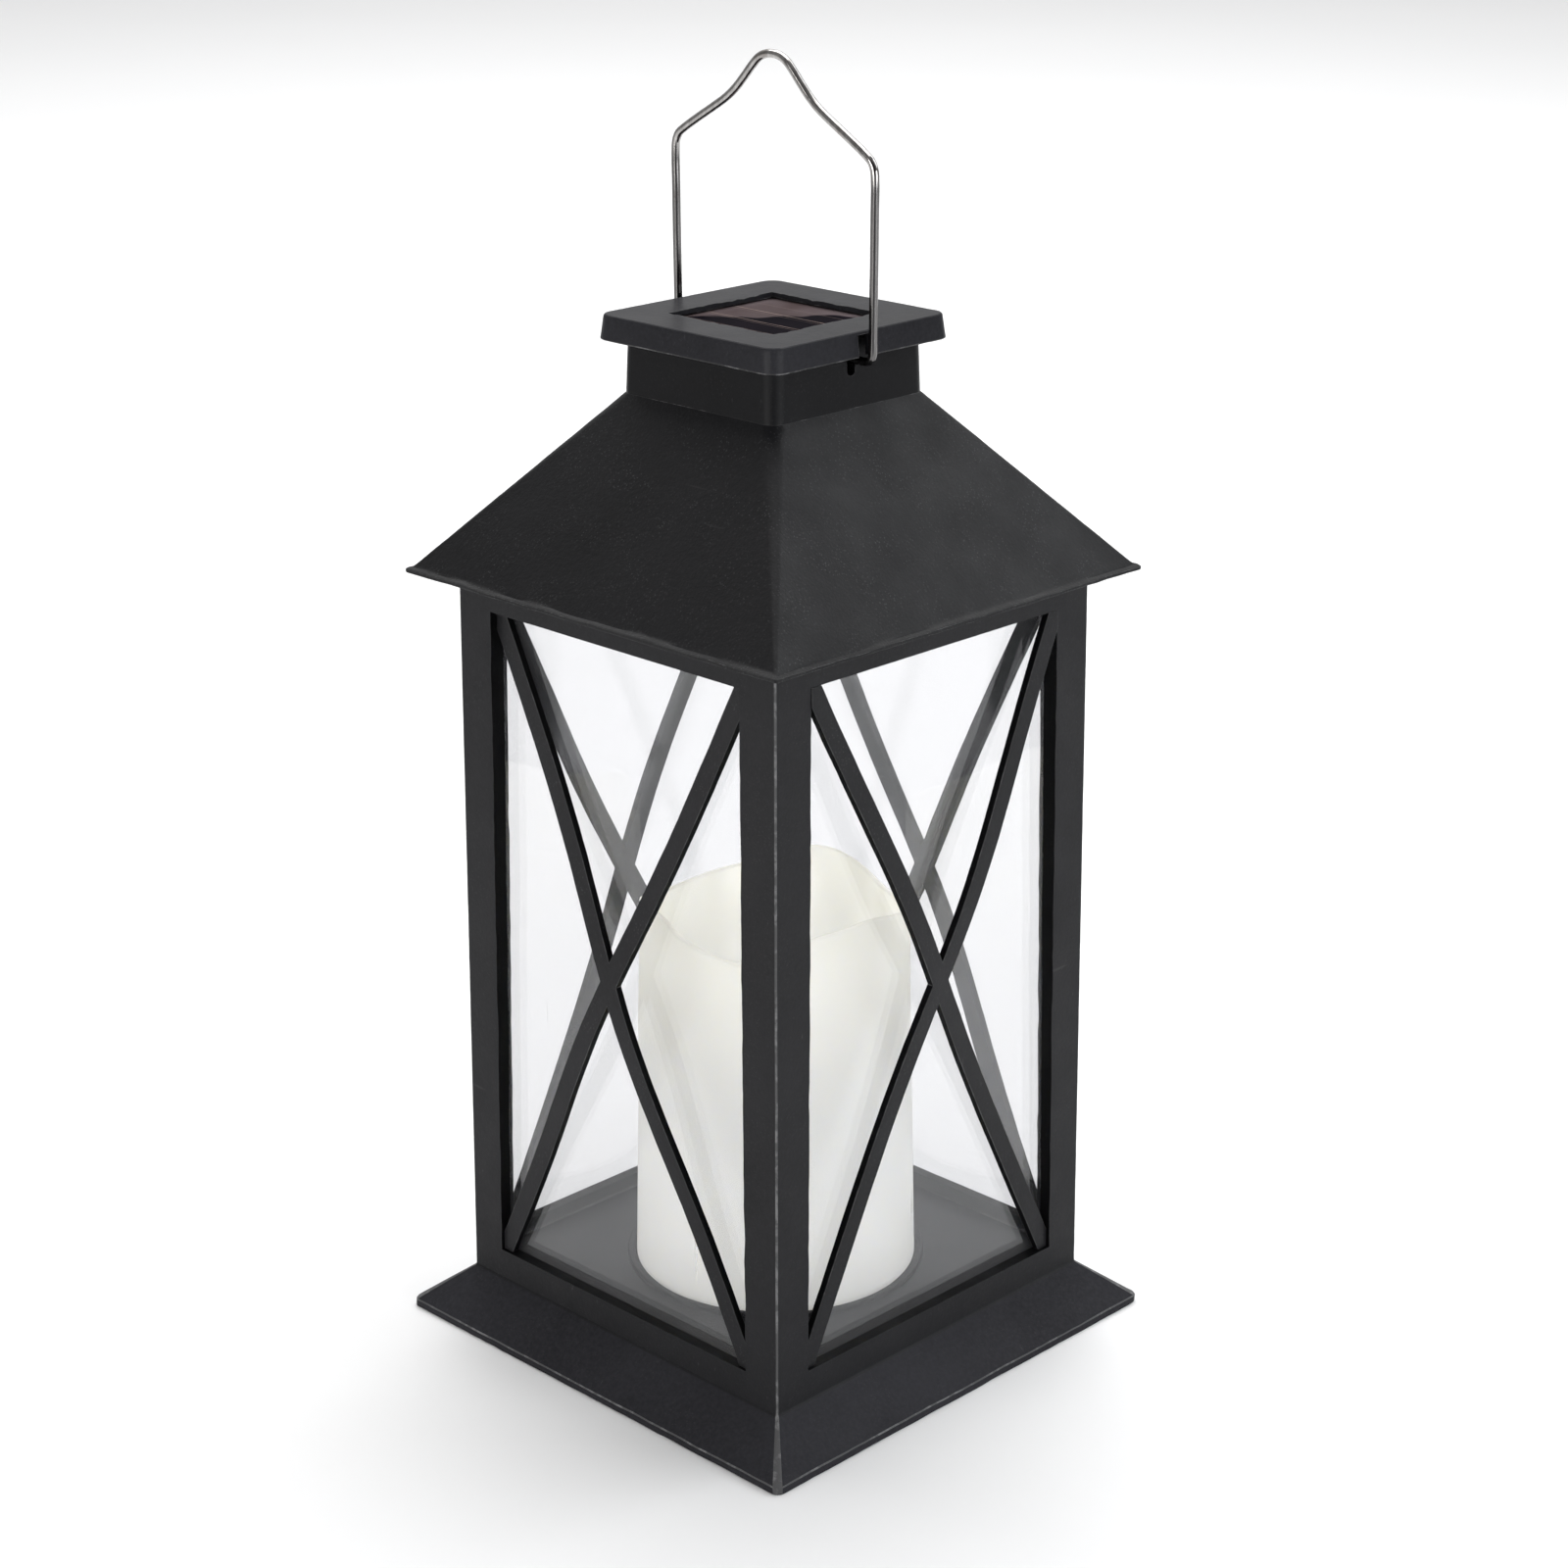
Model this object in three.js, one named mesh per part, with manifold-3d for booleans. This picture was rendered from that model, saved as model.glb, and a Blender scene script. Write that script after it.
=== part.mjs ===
// Solar lantern: a square black moulded lantern with a hipped roof, four clear
// windows crossed by X braces, a candle-shaped light inside, a solar cell in the
// cap and a sprung-wire bail over the top.
//
// Millimetres, +Z up. Origin: centre of the footprint, on the surface it stands on.
// The four walls face -Y (front), +X (right), +Y (back) and -X (left).
import * as THREE from 'three';
import { mergeVertices } from 'three/addons/utils/BufferGeometryUtils.js';
import Module from 'manifold-3d';

const wasm = await Module();
wasm.setup();

// ---------------------------------------------------------------- dimensions
const GAP = 0.3;                 // clearance between pieces that touch

// base skirt
const BASE_HALF = 70.0;          // half width of the foot print
const BASE_EDGE_H = 2.3;         // upright edge of the skirt
const BASE_CORNER_R = 2.5;
const SKIRT_TOP_Z = 12.25;       // where the sloping skirt meets the walls
const SKIRT_WALL = 2.4;

// body walls (a slightly tapered square tube with four windows)
const BODY_BOT_HALF = 57.5;      // at SKIRT_TOP_Z
const BODY_TOP_HALF = 56.1;      // at BODY_TOP_Z
const BODY_TOP_Z = 207.1;
const BODY_CORNER_R = 0.6;
const INNER_BOT_HALF = 54.35;    // inner face of the walls, at the ledge
const INNER_TOP_HALF = 51.75;    // and at BODY_TOP_Z: the walls thicken upwards
const WIN_BOT_Z = 20.5;
const WIN_TOP_Z = 199.0;
const WIN_BOT_HALF = 46.4;
const WIN_TOP_HALF = 44.2;
const LEDGE_Z0 = 13.2;           // ledge that carries the floor plate
const LEDGE_Z1 = 14.7;
const LEDGE_HALF = 49.7;

// X braces, let into the windows and bowed outwards at mid height
const BRACE_W = 5.2;
const BRACE_T = 2.0;
// how far the outer face stands proud of the wall at the height where it bows out most,
// and how far behind the wall's face it lies at its top and bottom ends
const BOW_FRONT = { z: 98, proud: 3.0, top: 2.1, bottom: 1.0 };
const BOW_SIDE = { z: 136, proud: 3.1, top: 0.1, bottom: 1.0 };

// panes
const PANE_GAP = 0.3;            // behind the inner face of the wall
const PANE_T = 1.2;
const PANE_BOT_Z = 16.95;
const PANE_TOP_Z = 202.4;
const PANE_BOT_HALF = 48.1;
const PANE_TOP_HALF = 47.1;

// roof and neck
const EAVE_HALF = 65.75;
const EAVE_Z = 207.1;
const EAVE_LIP = 1.2;
const NECK_Z = 253.1;
const NECK_BOT_HALF = 26.85;
const NECK_TOP_Z = 270.4;
const NECK_TOP_HALF = 26.3;
const NECK_R = 4.0;
const ROOF_SCREW_XY = 43.0;
const SLOT_W = 2.9;              // slot in the neck that takes the end of the bail
const SLOT_BOTTOM_Z = 261.05;

// cap and solar cell
const CAP_BOT_Z = 266.4;
const CAP_TOP_Z = 272.7;
const CAP_BOT_HALF = 31.2;
const CAP_TOP_HALF = 30.55;
const CAP_R = 4.0;
const CELL_WINDOW_HALF = 18.25;
const CELL_HALF = 19.4;
const CELL_TOP_Z = 271.0;
const CELL_T = 2.0;

// bail (wire handle)
const WIRE_R = 1.05;
const BAIL_AXIS_Z = 265.2;
const BAIL_HALF_PROFILE = [      // x, z of the wire's centre line, from the top outwards
  [0, 335.2], [2.4, 334.9], [4.6, 333.9], [7.0, 331.7], [9.7, 328.8], [12.7, 325.8],
  [15.8, 323.4], [20.8, 320.4], [26.0, 317.4], [30.6, 314.6], [32.6, 313.1], [33.6, 311.2],
  [33.9, 308.5], [33.85, 300], [33.8, 290], [33.7, 280], [33.6, 272], [33.6, 268.8],
  [33.5, 267.3], [33.1, 266.2], [32.3, 265.45], [31.1, BAIL_AXIS_Z], [29.2, BAIL_AXIS_Z], [25.0, BAIL_AXIS_Z],
  [20.8, BAIL_AXIS_Z],
];

// floor, candle
const FLOOR_Z = 16.6;
const FLOOR_T = 1.6;
const CANDLE_BOT_R = 37.6;
const CANDLE_TOP_R = 35.3;
const CANDLE_WALL = 1.7;
const CANDLE_BOT_Z = 16.95;
const CANDLE_RIM = [             // degrees from +X towards +Y, rim height
  [-60, 114.2], [-45, 117.4], [-29, 120.6], [-15, 121.8], [0, 122.3], [17, 120.2],
  [30, 118.2], [45, 115.5], [60, 113.9], [77, 114.4], [85, 116.0], [93, 118.2],
  [104, 120.4], [113, 121.1], [123, 120.4], [136, 118.0], [149, 115.8], [161, 114.8],
  [180, 113.7], [196, 114.2], [214, 117.0], [230, 120.0], [246, 121.6], [260, 120.9],
  [269, 118.3], [281, 116.2], [290, 114.8],
];

// underside
const COVER_HALF = 66.0;
const COVER_Z0 = 1.2;
const COVER_Z1 = 2.8;
const BASE_SCREW_XY = 46.0;
const CELL_AAA_R = 5.25;         // AAA cell
const CELL_AAA_L = 44.5;
const BATT_Y = -38.0;
const BATT_Z = 9.0;
const SWITCH_X = 30.0;
const SWITCH_Y = 24.0;
const SWITCH_TRAVEL = 3.0;

// leads
const LEAD_R = 0.6;

// ---------------------------------------------------------------- helpers
// Square ring of points with rounded corners, counter-clockwise seen from +Z.
function squareRing(half, r, z, seg = 2) {
  const pts = [];
  const c = half - r;
  const corners = [[c, c, 0], [-c, c, 90], [-c, -c, 180], [c, -c, 270]];
  for (const [cx, cy, a0] of corners) {
    for (let i = 0; i <= seg; i++) {
      const a = THREE.MathUtils.degToRad(a0 + (90 * i) / seg);
      pts.push([cx + r * Math.cos(a), cy + r * Math.sin(a), z]);
    }
  }
  return pts;
}

function rectRing(x0, x1, y0, y1, z) {
  return [[x1, y1, z], [x0, y1, z], [x0, y0, z], [x1, y0, z]];
}

function signedVolume(pos, idx) {
  let v = 0;
  for (let i = 0; i < idx.length; i += 3) {
    const a = idx[i] * 3, b = idx[i + 1] * 3, c = idx[i + 2] * 3;
    v += pos[a] * (pos[b + 1] * pos[c + 2] - pos[b + 2] * pos[c + 1])
      - pos[a + 1] * (pos[b] * pos[c + 2] - pos[b + 2] * pos[c])
      + pos[a + 2] * (pos[b] * pos[c + 1] - pos[b + 1] * pos[c]);
  }
  return v / 6;
}

function geometryFrom(pos, idx) {
  if (signedVolume(pos, idx) < 0) {
    for (let i = 0; i < idx.length; i += 3) [idx[i + 1], idx[i + 2]] = [idx[i + 2], idx[i + 1]];
  }
  const g = new THREE.BufferGeometry();
  g.setAttribute('position', new THREE.BufferAttribute(new Float32Array(pos), 3));
  g.setIndex(idx);
  g.computeVertexNormals();
  return g;
}

// Closed skin through rings with equal point counts; ends are capped.
function loft(rings) {
  const n = rings[0].length;
  const pos = rings.flat(2);
  const idx = [];
  for (let k = 0; k + 1 < rings.length; k++) {
    for (let i = 0; i < n; i++) {
      const a = k * n + i, b = k * n + ((i + 1) % n), c = a + n, d = b + n;
      idx.push(a, b, d, a, d, c);
    }
  }
  const last = (rings.length - 1) * n;
  for (let i = 1; i + 1 < n; i++) {
    idx.push(0, i + 1, i);
    idx.push(last, last + i, last + i + 1);
  }
  return geometryFrom(pos, idx);
}

// Closed skin through rings joined end to end (a ring of rings, such as a tube wall).
function torusLoft(rings) {
  const n = rings[0].length, m = rings.length;
  const pos = rings.flat(2);
  const idx = [];
  for (let k = 0; k < m; k++) {
    const k2 = (k + 1) % m;
    for (let i = 0; i < n; i++) {
      const i2 = (i + 1) % n;
      const a = k * n + i, b = k * n + i2, c = k2 * n + i, d = k2 * n + i2;
      idx.push(a, b, d, a, d, c);
    }
  }
  return geometryFrom(pos, idx);
}

function toSolid(geo) {
  if (!geo.isBufferGeometry) return geo;
  const g = geo.clone();
  g.deleteAttribute('normal');
  g.deleteAttribute('uv');
  const m = mergeVertices(g, 1e-4);
  return new wasm.Manifold(new wasm.Mesh({
    numProp: 3,
    vertProperties: new Float32Array(m.attributes.position.array),
    triVerts: new Uint32Array(m.index.array),
  }));
}

function toGeometry(solid) {
  const mesh = solid.getMesh();
  const np = mesh.numProp;
  const src = mesh.vertProperties;
  const pos = new Float32Array((src.length / np) * 3);
  for (let i = 0; i < src.length / np; i++) {
    pos[i * 3] = src[i * np];
    pos[i * 3 + 1] = src[i * np + 1];
    pos[i * 3 + 2] = src[i * np + 2];
  }
  const g = new THREE.BufferGeometry();
  g.setAttribute('position', new THREE.BufferAttribute(pos, 3));
  g.setIndex(new THREE.BufferAttribute(new Uint32Array(mesh.triVerts), 1));
  g.computeVertexNormals();
  return g;
}

function join(...list) {
  return list.map(toSolid).reduce((a, b) => a.add(b));
}

function cut(base, ...tools) {
  return tools.map(toSolid).reduce((a, b) => a.subtract(b), toSolid(base));
}

function box(x0, x1, y0, y1, z0, z1) {
  const g = new THREE.BoxGeometry(x1 - x0, y1 - y0, z1 - z0);
  g.translate((x0 + x1) / 2, (y0 + y1) / 2, (z0 + z1) / 2);
  return g;
}

function rod(x, y, z0, z1, r, seg = 16) {
  const g = new THREE.CylinderGeometry(r, r, z1 - z0, seg);
  g.rotateX(Math.PI / 2);
  g.translate(x, y, (z0 + z1) / 2);
  return g;
}

function rodX(y, z, x0, x1, r, seg = 16) {
  const g = new THREE.CylinderGeometry(r, r, x1 - x0, seg);
  g.rotateZ(Math.PI / 2);
  g.translate((x0 + x1) / 2, y, z);
  return g;
}

// Round wire or lead along a curve.
function wire(points, r, steps, sides = 8) {
  const curve = new THREE.CatmullRomCurve3(points.map((p) => new THREE.Vector3(...p)), false, 'centripetal');
  curve.arcLengthDivisions = 800;
  const shape = new THREE.Shape();
  for (let i = 0; i < sides; i++) {
    const a = (2 * Math.PI * (i + 0.5)) / sides;
    if (i === 0) shape.moveTo(r * Math.cos(a), r * Math.sin(a));
    else shape.lineTo(r * Math.cos(a), r * Math.sin(a));
  }
  shape.closePath();
  return new THREE.ExtrudeGeometry(shape, { steps, bevelEnabled: false, extrudePath: curve });
}

function lathe(profile, seg = 20) {
  return new THREE.LatheGeometry(profile.map(([r, z]) => new THREE.Vector2(r, z)), seg).rotateX(Math.PI / 2);
}

const finish = {
  black: [0x2e2e31, 0.55, 0.0], blackSmooth: [0x2b2b2e, 0.42, 0.0], brace: [0x323235, 0.5, 0.0],
  clear: [0xf2f6f8, 0.08, 0.0], wax: [0xeeecdf, 0.5, 0.0], steel: [0xc9c6c2, 0.18, 1.0],
  cell: [0x3a2c33, 0.12, 0.0], seal: [0x1c1c1d, 0.7, 0.0], pcb: [0x1f6a3c, 0.5, 0.0],
  epoxy: [0x151516, 0.5, 0.0], coil: [0x3f7f4c, 0.5, 0.0], lens: [0xfff1c2, 0.2, 0.0],
  battery: [0x3b8f4a, 0.35, 0.1], nickel: [0xbfc0c2, 0.3, 1.0], red: [0xb32020, 0.5, 0.0],
  ink: [0x161617, 0.5, 0.0], knob: [0xe6e6e2, 0.5, 0.0], screw: [0x9fa1a5, 0.35, 1.0],
};

const lantern = new THREE.Group();

function piece(name, shape, look, place) {
  const geo = shape.isBufferGeometry ? shape : toGeometry(shape);
  const [color, roughness, metalness] = finish[look];
  const mat = new THREE.MeshStandardMaterial({ color, roughness, metalness });
  if (look === 'clear') { mat.transparent = true; mat.opacity = 0.3; }
  const mesh = new THREE.Mesh(geo, mat);
  mesh.name = name;
  if (place) place(mesh);
  lantern.add(mesh);
  return mesh;
}

const taper = (BODY_BOT_HALF - BODY_TOP_HALF) / (BODY_TOP_Z - SKIRT_TOP_Z);
const bodyHalf = (z) => BODY_BOT_HALF - taper * (z - SKIRT_TOP_Z);
const innerHalf = (z) => INNER_BOT_HALF - ((INNER_BOT_HALF - INNER_TOP_HALF) * (z - LEDGE_Z1)) / (BODY_TOP_Z - LEDGE_Z1);
const winHalf = (z) => WIN_BOT_HALF - ((WIN_BOT_HALF - WIN_TOP_HALF) * (z - WIN_BOT_Z)) / (WIN_TOP_Z - WIN_BOT_Z);
const quadrants = [[1, 1], [-1, 1], [-1, -1], [1, -1]];
const fourCorners = (fn) => quadrants.map(([sx, sy]) => fn(sx, sy));
const cornerBox = (sx, sy, a, b, z0, z1) => box(
  Math.min(sx * a, sx * b), Math.max(sx * a, sx * b), Math.min(sy * a, sy * b), Math.max(sy * a, sy * b), z0, z1);

// ---------------------------------------------------------------- body frame
// Skirt, four corner posts and the rails are one moulding, open below and above.
{
  const outer = loft([
    squareRing(BASE_HALF - 0.3, BASE_CORNER_R, 0), squareRing(BASE_HALF, BASE_CORNER_R, 0.4),
    squareRing(BASE_HALF, BASE_CORNER_R, BASE_EDGE_H),
    squareRing(BODY_BOT_HALF, BODY_CORNER_R, SKIRT_TOP_Z),
    squareRing(BODY_TOP_HALF, BODY_CORNER_R, BODY_TOP_Z),
  ]);
  const low = BASE_HALF - SKIRT_WALL;
  const hollowBelow = loft([
    squareRing(low, 1.2, -1), squareRing(low, 1.2, 1.4), squareRing(55.6, 1.2, 10.9),
    squareRing(52.7, 0.8, LEDGE_Z0),
  ]);
  const throughLedge = loft([squareRing(LEDGE_HALF, 0.8, LEDGE_Z0 - 0.5), squareRing(LEDGE_HALF, 0.8, LEDGE_Z1 + 0.5)]);
  const hollowAbove = loft([
    squareRing(innerHalf(LEDGE_Z1), 0.8, LEDGE_Z1), squareRing(innerHalf(BODY_TOP_Z + 1), 0.8, BODY_TOP_Z + 1),
  ]);
  let body = cut(outer, hollowBelow, throughLedge, hollowAbove);
  // feet of the screw bosses and webs in the corners
  const additions = [];
  const removals = [];
  for (const [sx, sy] of quadrants) {
    additions.push(cornerBox(sx, sy, 41, 55.3, LEDGE_Z0, LEDGE_Z1));
    additions.push(rod(sx * BASE_SCREW_XY, sy * BASE_SCREW_XY, 4.4, LEDGE_Z0 + 0.5, 3.5, 10));
    additions.push(cornerBox(sx, sy, 37.5, 52.2, 203.2, BODY_TOP_Z));
    removals.push(rod(sx * BASE_SCREW_XY, sy * BASE_SCREW_XY, 3.4, 12.6, 1.5, 8));
    removals.push(rod(sx * ROOF_SCREW_XY, sy * ROOF_SCREW_XY, 202, 208, 1.9, 8));
  }
  body = join(body, ...additions);
  // notches in the corner webs for the leads
  removals.push(box(-51.6, -46.9, 46.9, 51.6, 202.5, 208));
  removals.push(box(-52.6, -48.3, 48.3, 52.6, LEDGE_Z0 - 0.6, LEDGE_Z1 + 0.6));
  body = cut(body, ...removals);
  // windows
  const inner = INNER_TOP_HALF - 1.5;
  const win = loft([
    rectRing(-WIN_BOT_HALF, WIN_BOT_HALF, -BASE_HALF, -inner, WIN_BOT_Z),
    rectRing(-WIN_TOP_HALF, WIN_TOP_HALF, -BASE_HALF, -inner, WIN_TOP_Z),
  ]);
  for (let k = 0; k < 4; k++) body = cut(body, win.clone().rotateZ((k * Math.PI) / 2));
  piece('body_frame', body, 'black');
}

// ---------------------------------------------------------------- X braces and panes
const braceInset = (z, bow) => {
  const end = z > bow.z ? bow.top : bow.bottom;
  const reach = z > bow.z ? 40 : 38;
  return end - (end + bow.proud) * Math.exp(-(((z - bow.z) / reach) ** 2));
};
{
  const arm = (bow, xa, za, xb, zb) => {
    const dir = new THREE.Vector2(xb - xa, zb - za).normalize();
    const nx = -dir.y, nz = dir.x;
    const steps = 14;
    const rings = [];
    for (let i = 0; i <= steps; i++) {
      const t = -0.03 + (1.06 * i) / steps;
      const cx = xa + (xb - xa) * t, cz = za + (zb - za) * t;
      const ring = [];
      for (const [side, depth] of [[-1, 0], [1, 0], [1, 1], [-1, 1]]) {
        const x = cx + (nx * side * BRACE_W) / 2, z = cz + (nz * side * BRACE_W) / 2;
        ring.push([x, -(bodyHalf(z) - braceInset(z, bow) - depth * BRACE_T), z]);
      }
      rings.push(ring);
    }
    return loft(rings);
  };
  const z0 = WIN_BOT_Z + GAP, z1 = WIN_TOP_Z - GAP;
  const h0 = winHalf(z0) - GAP, h1 = winHalf(z1) - GAP;
  const fit = loft([rectRing(-h0, h0, -BASE_HALF, -40, z0), rectRing(-h1, h1, -BASE_HALF, -40, z1)]);
  const cross = (bow) => join(arm(bow, -h1 + 0.4, z1, h0 - 0.4, z0), arm(bow, h1 - 0.4, z1, -h0 + 0.4, z0)).intersect(toSolid(fit));
  const paneY = (z, d) => -(innerHalf(z) - PANE_GAP - d);
  const pane = loft([
    [[PANE_BOT_HALF, paneY(PANE_BOT_Z, PANE_T), PANE_BOT_Z], [-PANE_BOT_HALF, paneY(PANE_BOT_Z, PANE_T), PANE_BOT_Z],
      [-PANE_BOT_HALF, paneY(PANE_BOT_Z, 0), PANE_BOT_Z], [PANE_BOT_HALF, paneY(PANE_BOT_Z, 0), PANE_BOT_Z]],
    [[PANE_TOP_HALF, paneY(PANE_TOP_Z, PANE_T), PANE_TOP_Z], [-PANE_TOP_HALF, paneY(PANE_TOP_Z, PANE_T), PANE_TOP_Z],
      [-PANE_TOP_HALF, paneY(PANE_TOP_Z, 0), PANE_TOP_Z], [PANE_TOP_HALF, paneY(PANE_TOP_Z, 0), PANE_TOP_Z]],
  ]);
  ['front', 'right', 'back', 'left'].forEach((side, k) => {
    const turn = (m) => { m.rotation.z = (k * Math.PI) / 2; };
    piece(`x_brace_${side}`, cross(k % 2 ? BOW_SIDE : BOW_FRONT), 'brace', turn);
    piece(`pane_${side}`, pane.clone(), 'clear', turn);
  });
}

// ---------------------------------------------------------------- roof with neck
{
  const outer = loft([
    squareRing(EAVE_HALF, 0.8, EAVE_Z), squareRing(EAVE_HALF, 0.8, EAVE_Z + EAVE_LIP),
    squareRing(NECK_BOT_HALF, NECK_R, NECK_Z), squareRing(NECK_TOP_HALF, NECK_R, NECK_TOP_Z),
  ]);
  const hollow = loft([
    squareRing(63.5, 0.5, EAVE_Z - 1), squareRing(63.1, 0.5, EAVE_Z + EAVE_LIP),
    squareRing(24.85, 2.2, NECK_Z - 0.8), squareRing(24.3, 2.2, NECK_TOP_Z + 1),
  ]);
  let roof = cut(outer, hollow);
  roof = join(roof, ...fourCorners((sx, sy) => rod(sx * ROOF_SCREW_XY, sy * ROOF_SCREW_XY, 209.2, 229.0, 3.2, 10)));
  roof = cut(roof, ...fourCorners((sx, sy) => rod(sx * ROOF_SCREW_XY, sy * ROOF_SCREW_XY, 208.5, 221.0, 1.5, 8)));
  const slotMid = SLOT_BOTTOM_Z + SLOT_W / 2;
  const slots = [-1, 1].flatMap((s) => [
    box(Math.min(s * 21, s * 28), Math.max(s * 21, s * 28), -SLOT_W / 2, SLOT_W / 2, slotMid, NECK_TOP_Z + 1),
    rodX(0, slotMid, Math.min(s * 21, s * 28), Math.max(s * 21, s * 28), SLOT_W / 2, 16),
  ]);
  piece('roof_shell', cut(roof, ...slots), 'black');
}

// Flat plate that closes the underside of the roof; the frame is screwed up against it.
piece('ceiling_plate', cut(
  loft([squareRing(61.8, 1.0, 207.4), squareRing(61.8, 1.0, 208.9)]),
  ...fourCorners((sx, sy) => rod(sx * ROOF_SCREW_XY, sy * ROOF_SCREW_XY, 206, 210, 1.9, 8)),
  rod(-49.3, 49.3, 206, 210, 3.3, 12),
), 'black');

// ---------------------------------------------------------------- cap, cell, seal
{
  const outer = loft([
    squareRing(CAP_BOT_HALF, CAP_R, CAP_BOT_Z), squareRing(CAP_TOP_HALF, CAP_R, CAP_TOP_Z - 0.4),
    squareRing(CAP_TOP_HALF - 0.4, CAP_R - 0.3, CAP_TOP_Z),
  ]);
  const hollow = loft([squareRing(29.15, 2.6, CAP_BOT_Z - 1), squareRing(28.65, 2.3, 271.3)]);
  let cap = cut(outer, hollow, box(-CELL_WINDOW_HALF, CELL_WINDOW_HALF, -CELL_WINDOW_HALF, CELL_WINDOW_HALF, 270, 274));
  const pocket = cut(box(-22, 22, -22, 22, 268.3, 271.6), box(-21, 21, -21, 21, 267, 273));
  const legs = fourCorners((sx, sy) => cornerBox(sx, sy, 21.3, 23.15, 256.5, 271.6));
  cap = join(cap, pocket, ...legs);
  const notches = [-1, 1].map((s) => box(Math.min(s * 28.2, s * 32.4), Math.max(s * 28.2, s * 32.4), -2.1, 2.1, 265, 271.8));
  piece('solar_cap', cut(cap, ...notches), 'black');
}
piece('solar_cell', box(-CELL_HALF, CELL_HALF, -CELL_HALF, CELL_HALF, CELL_TOP_Z - CELL_T, CELL_TOP_Z), 'cell');
piece('cell_seal', cut(box(-20.7, 20.7, -20.7, 20.7, 269.1, 270.9), box(-19.7, 19.7, -19.7, 19.7, 268, 272)), 'seal');

// ---------------------------------------------------------------- bail
{
  const right = BAIL_HALF_PROFILE.map(([x, z]) => [x, 0, z]);
  const left = BAIL_HALF_PROFILE.slice(1).map(([x, z]) => [-x, 0, z]).reverse();
  piece('bail_wire', wire([...left, ...right], WIRE_R, 108, 8), 'steel');
}

// ---------------------------------------------------------------- floor plate, candle
{
  const plate = loft([squareRing(54.0, 0.8, FLOOR_Z - FLOOR_T), squareRing(54.0, 0.8, FLOOR_Z)]);
  const ring = cut(rod(0, 0, FLOOR_Z - 0.5, FLOOR_Z + 1.3, 39.9, 40), rod(0, 0, FLOOR_Z - 1, FLOOR_Z + 2, 38.15, 40));
  const bosses = [-1, 1].map((s) => rod(s * 11, 0, FLOOR_Z - FLOOR_T - 0.9, FLOOR_Z - 0.8, 2.6, 12));
  let floor = join(plate, ring, ...bosses);
  floor = cut(floor, rod(0, 0, 12, 20, 3.3, 20),
    ...[-1, 1].map((s) => rod(s * 11, 0, 13, FLOOR_Z - 0.7, 1.15, 10)),
    box(-56, -48.6, 48.6, 56, 12, 20));
  piece('floor_plate', floor, 'blackSmooth');
}
{
  const rim = CANDLE_RIM.map(([a, z]) => [a, z]);
  const n = rim.length;
  const rimAt = (deg) => {           // periodic Catmull-Rom through the rim heights
    let d = ((deg + 60) % 360 + 360) % 360 - 60;
    let i = n - 1;
    for (let k = 0; k < n; k++) if (rim[k][0] <= d) i = k;
    const at = (k) => { const q = Math.floor(k / n); const e = rim[((k % n) + n) % n]; return [e[0] + 360 * q, e[1]]; };
    const [p0, p1, p2, p3] = [at(i - 1), at(i), at(i + 1), at(i + 2)];
    const t = (d - p1[0]) / (p2[0] - p1[0]);
    const m1 = ((p2[1] - p0[1]) / (p2[0] - p0[0])) * (p2[0] - p1[0]);
    const m2 = ((p3[1] - p1[1]) / (p3[0] - p1[0])) * (p2[0] - p1[0]);
    return (2 * t ** 3 - 3 * t ** 2 + 1) * p1[1] + (t ** 3 - 2 * t ** 2 + t) * m1 + (-2 * t ** 3 + 3 * t ** 2) * p2[1] + (t ** 3 - t ** 2) * m2;
  };
  const seg = 40;
  const radius = (z) => CANDLE_BOT_R - ((CANDLE_BOT_R - CANDLE_TOP_R) * (z - CANDLE_BOT_Z)) / 100;
  const row = (fn) => {
    const ring = [];
    for (let i = 0; i < seg; i++) {
      const deg = (360 * i) / seg;
      const [r, z] = fn(rimAt(deg));
      const a = THREE.MathUtils.degToRad(deg);
      ring.push([r * Math.cos(a), r * Math.sin(a), z]);
    }
    return ring;
  };
  const mix = (t, top) => CANDLE_BOT_Z + t * (top - CANDLE_BOT_Z);
  const rows = [];
  for (const t of [0, 0.35, 0.7, 0.85]) rows.push(row((top) => [radius(mix(t, top)), mix(t, top)]));
  rows.push(row((top) => [radius(top) - 0.05, top - 0.7]));
  rows.push(row((top) => [radius(top) - CANDLE_WALL / 2, top]));
  rows.push(row((top) => [radius(top) - CANDLE_WALL + 0.05, top - 0.7]));
  for (const t of [0.85, 0.7, 0.35, 0]) rows.push(row((top) => [radius(mix(t, top)) - CANDLE_WALL, mix(t, top)]));
  piece('candle_shell', torusLoft(rows), 'wax');
}

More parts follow.
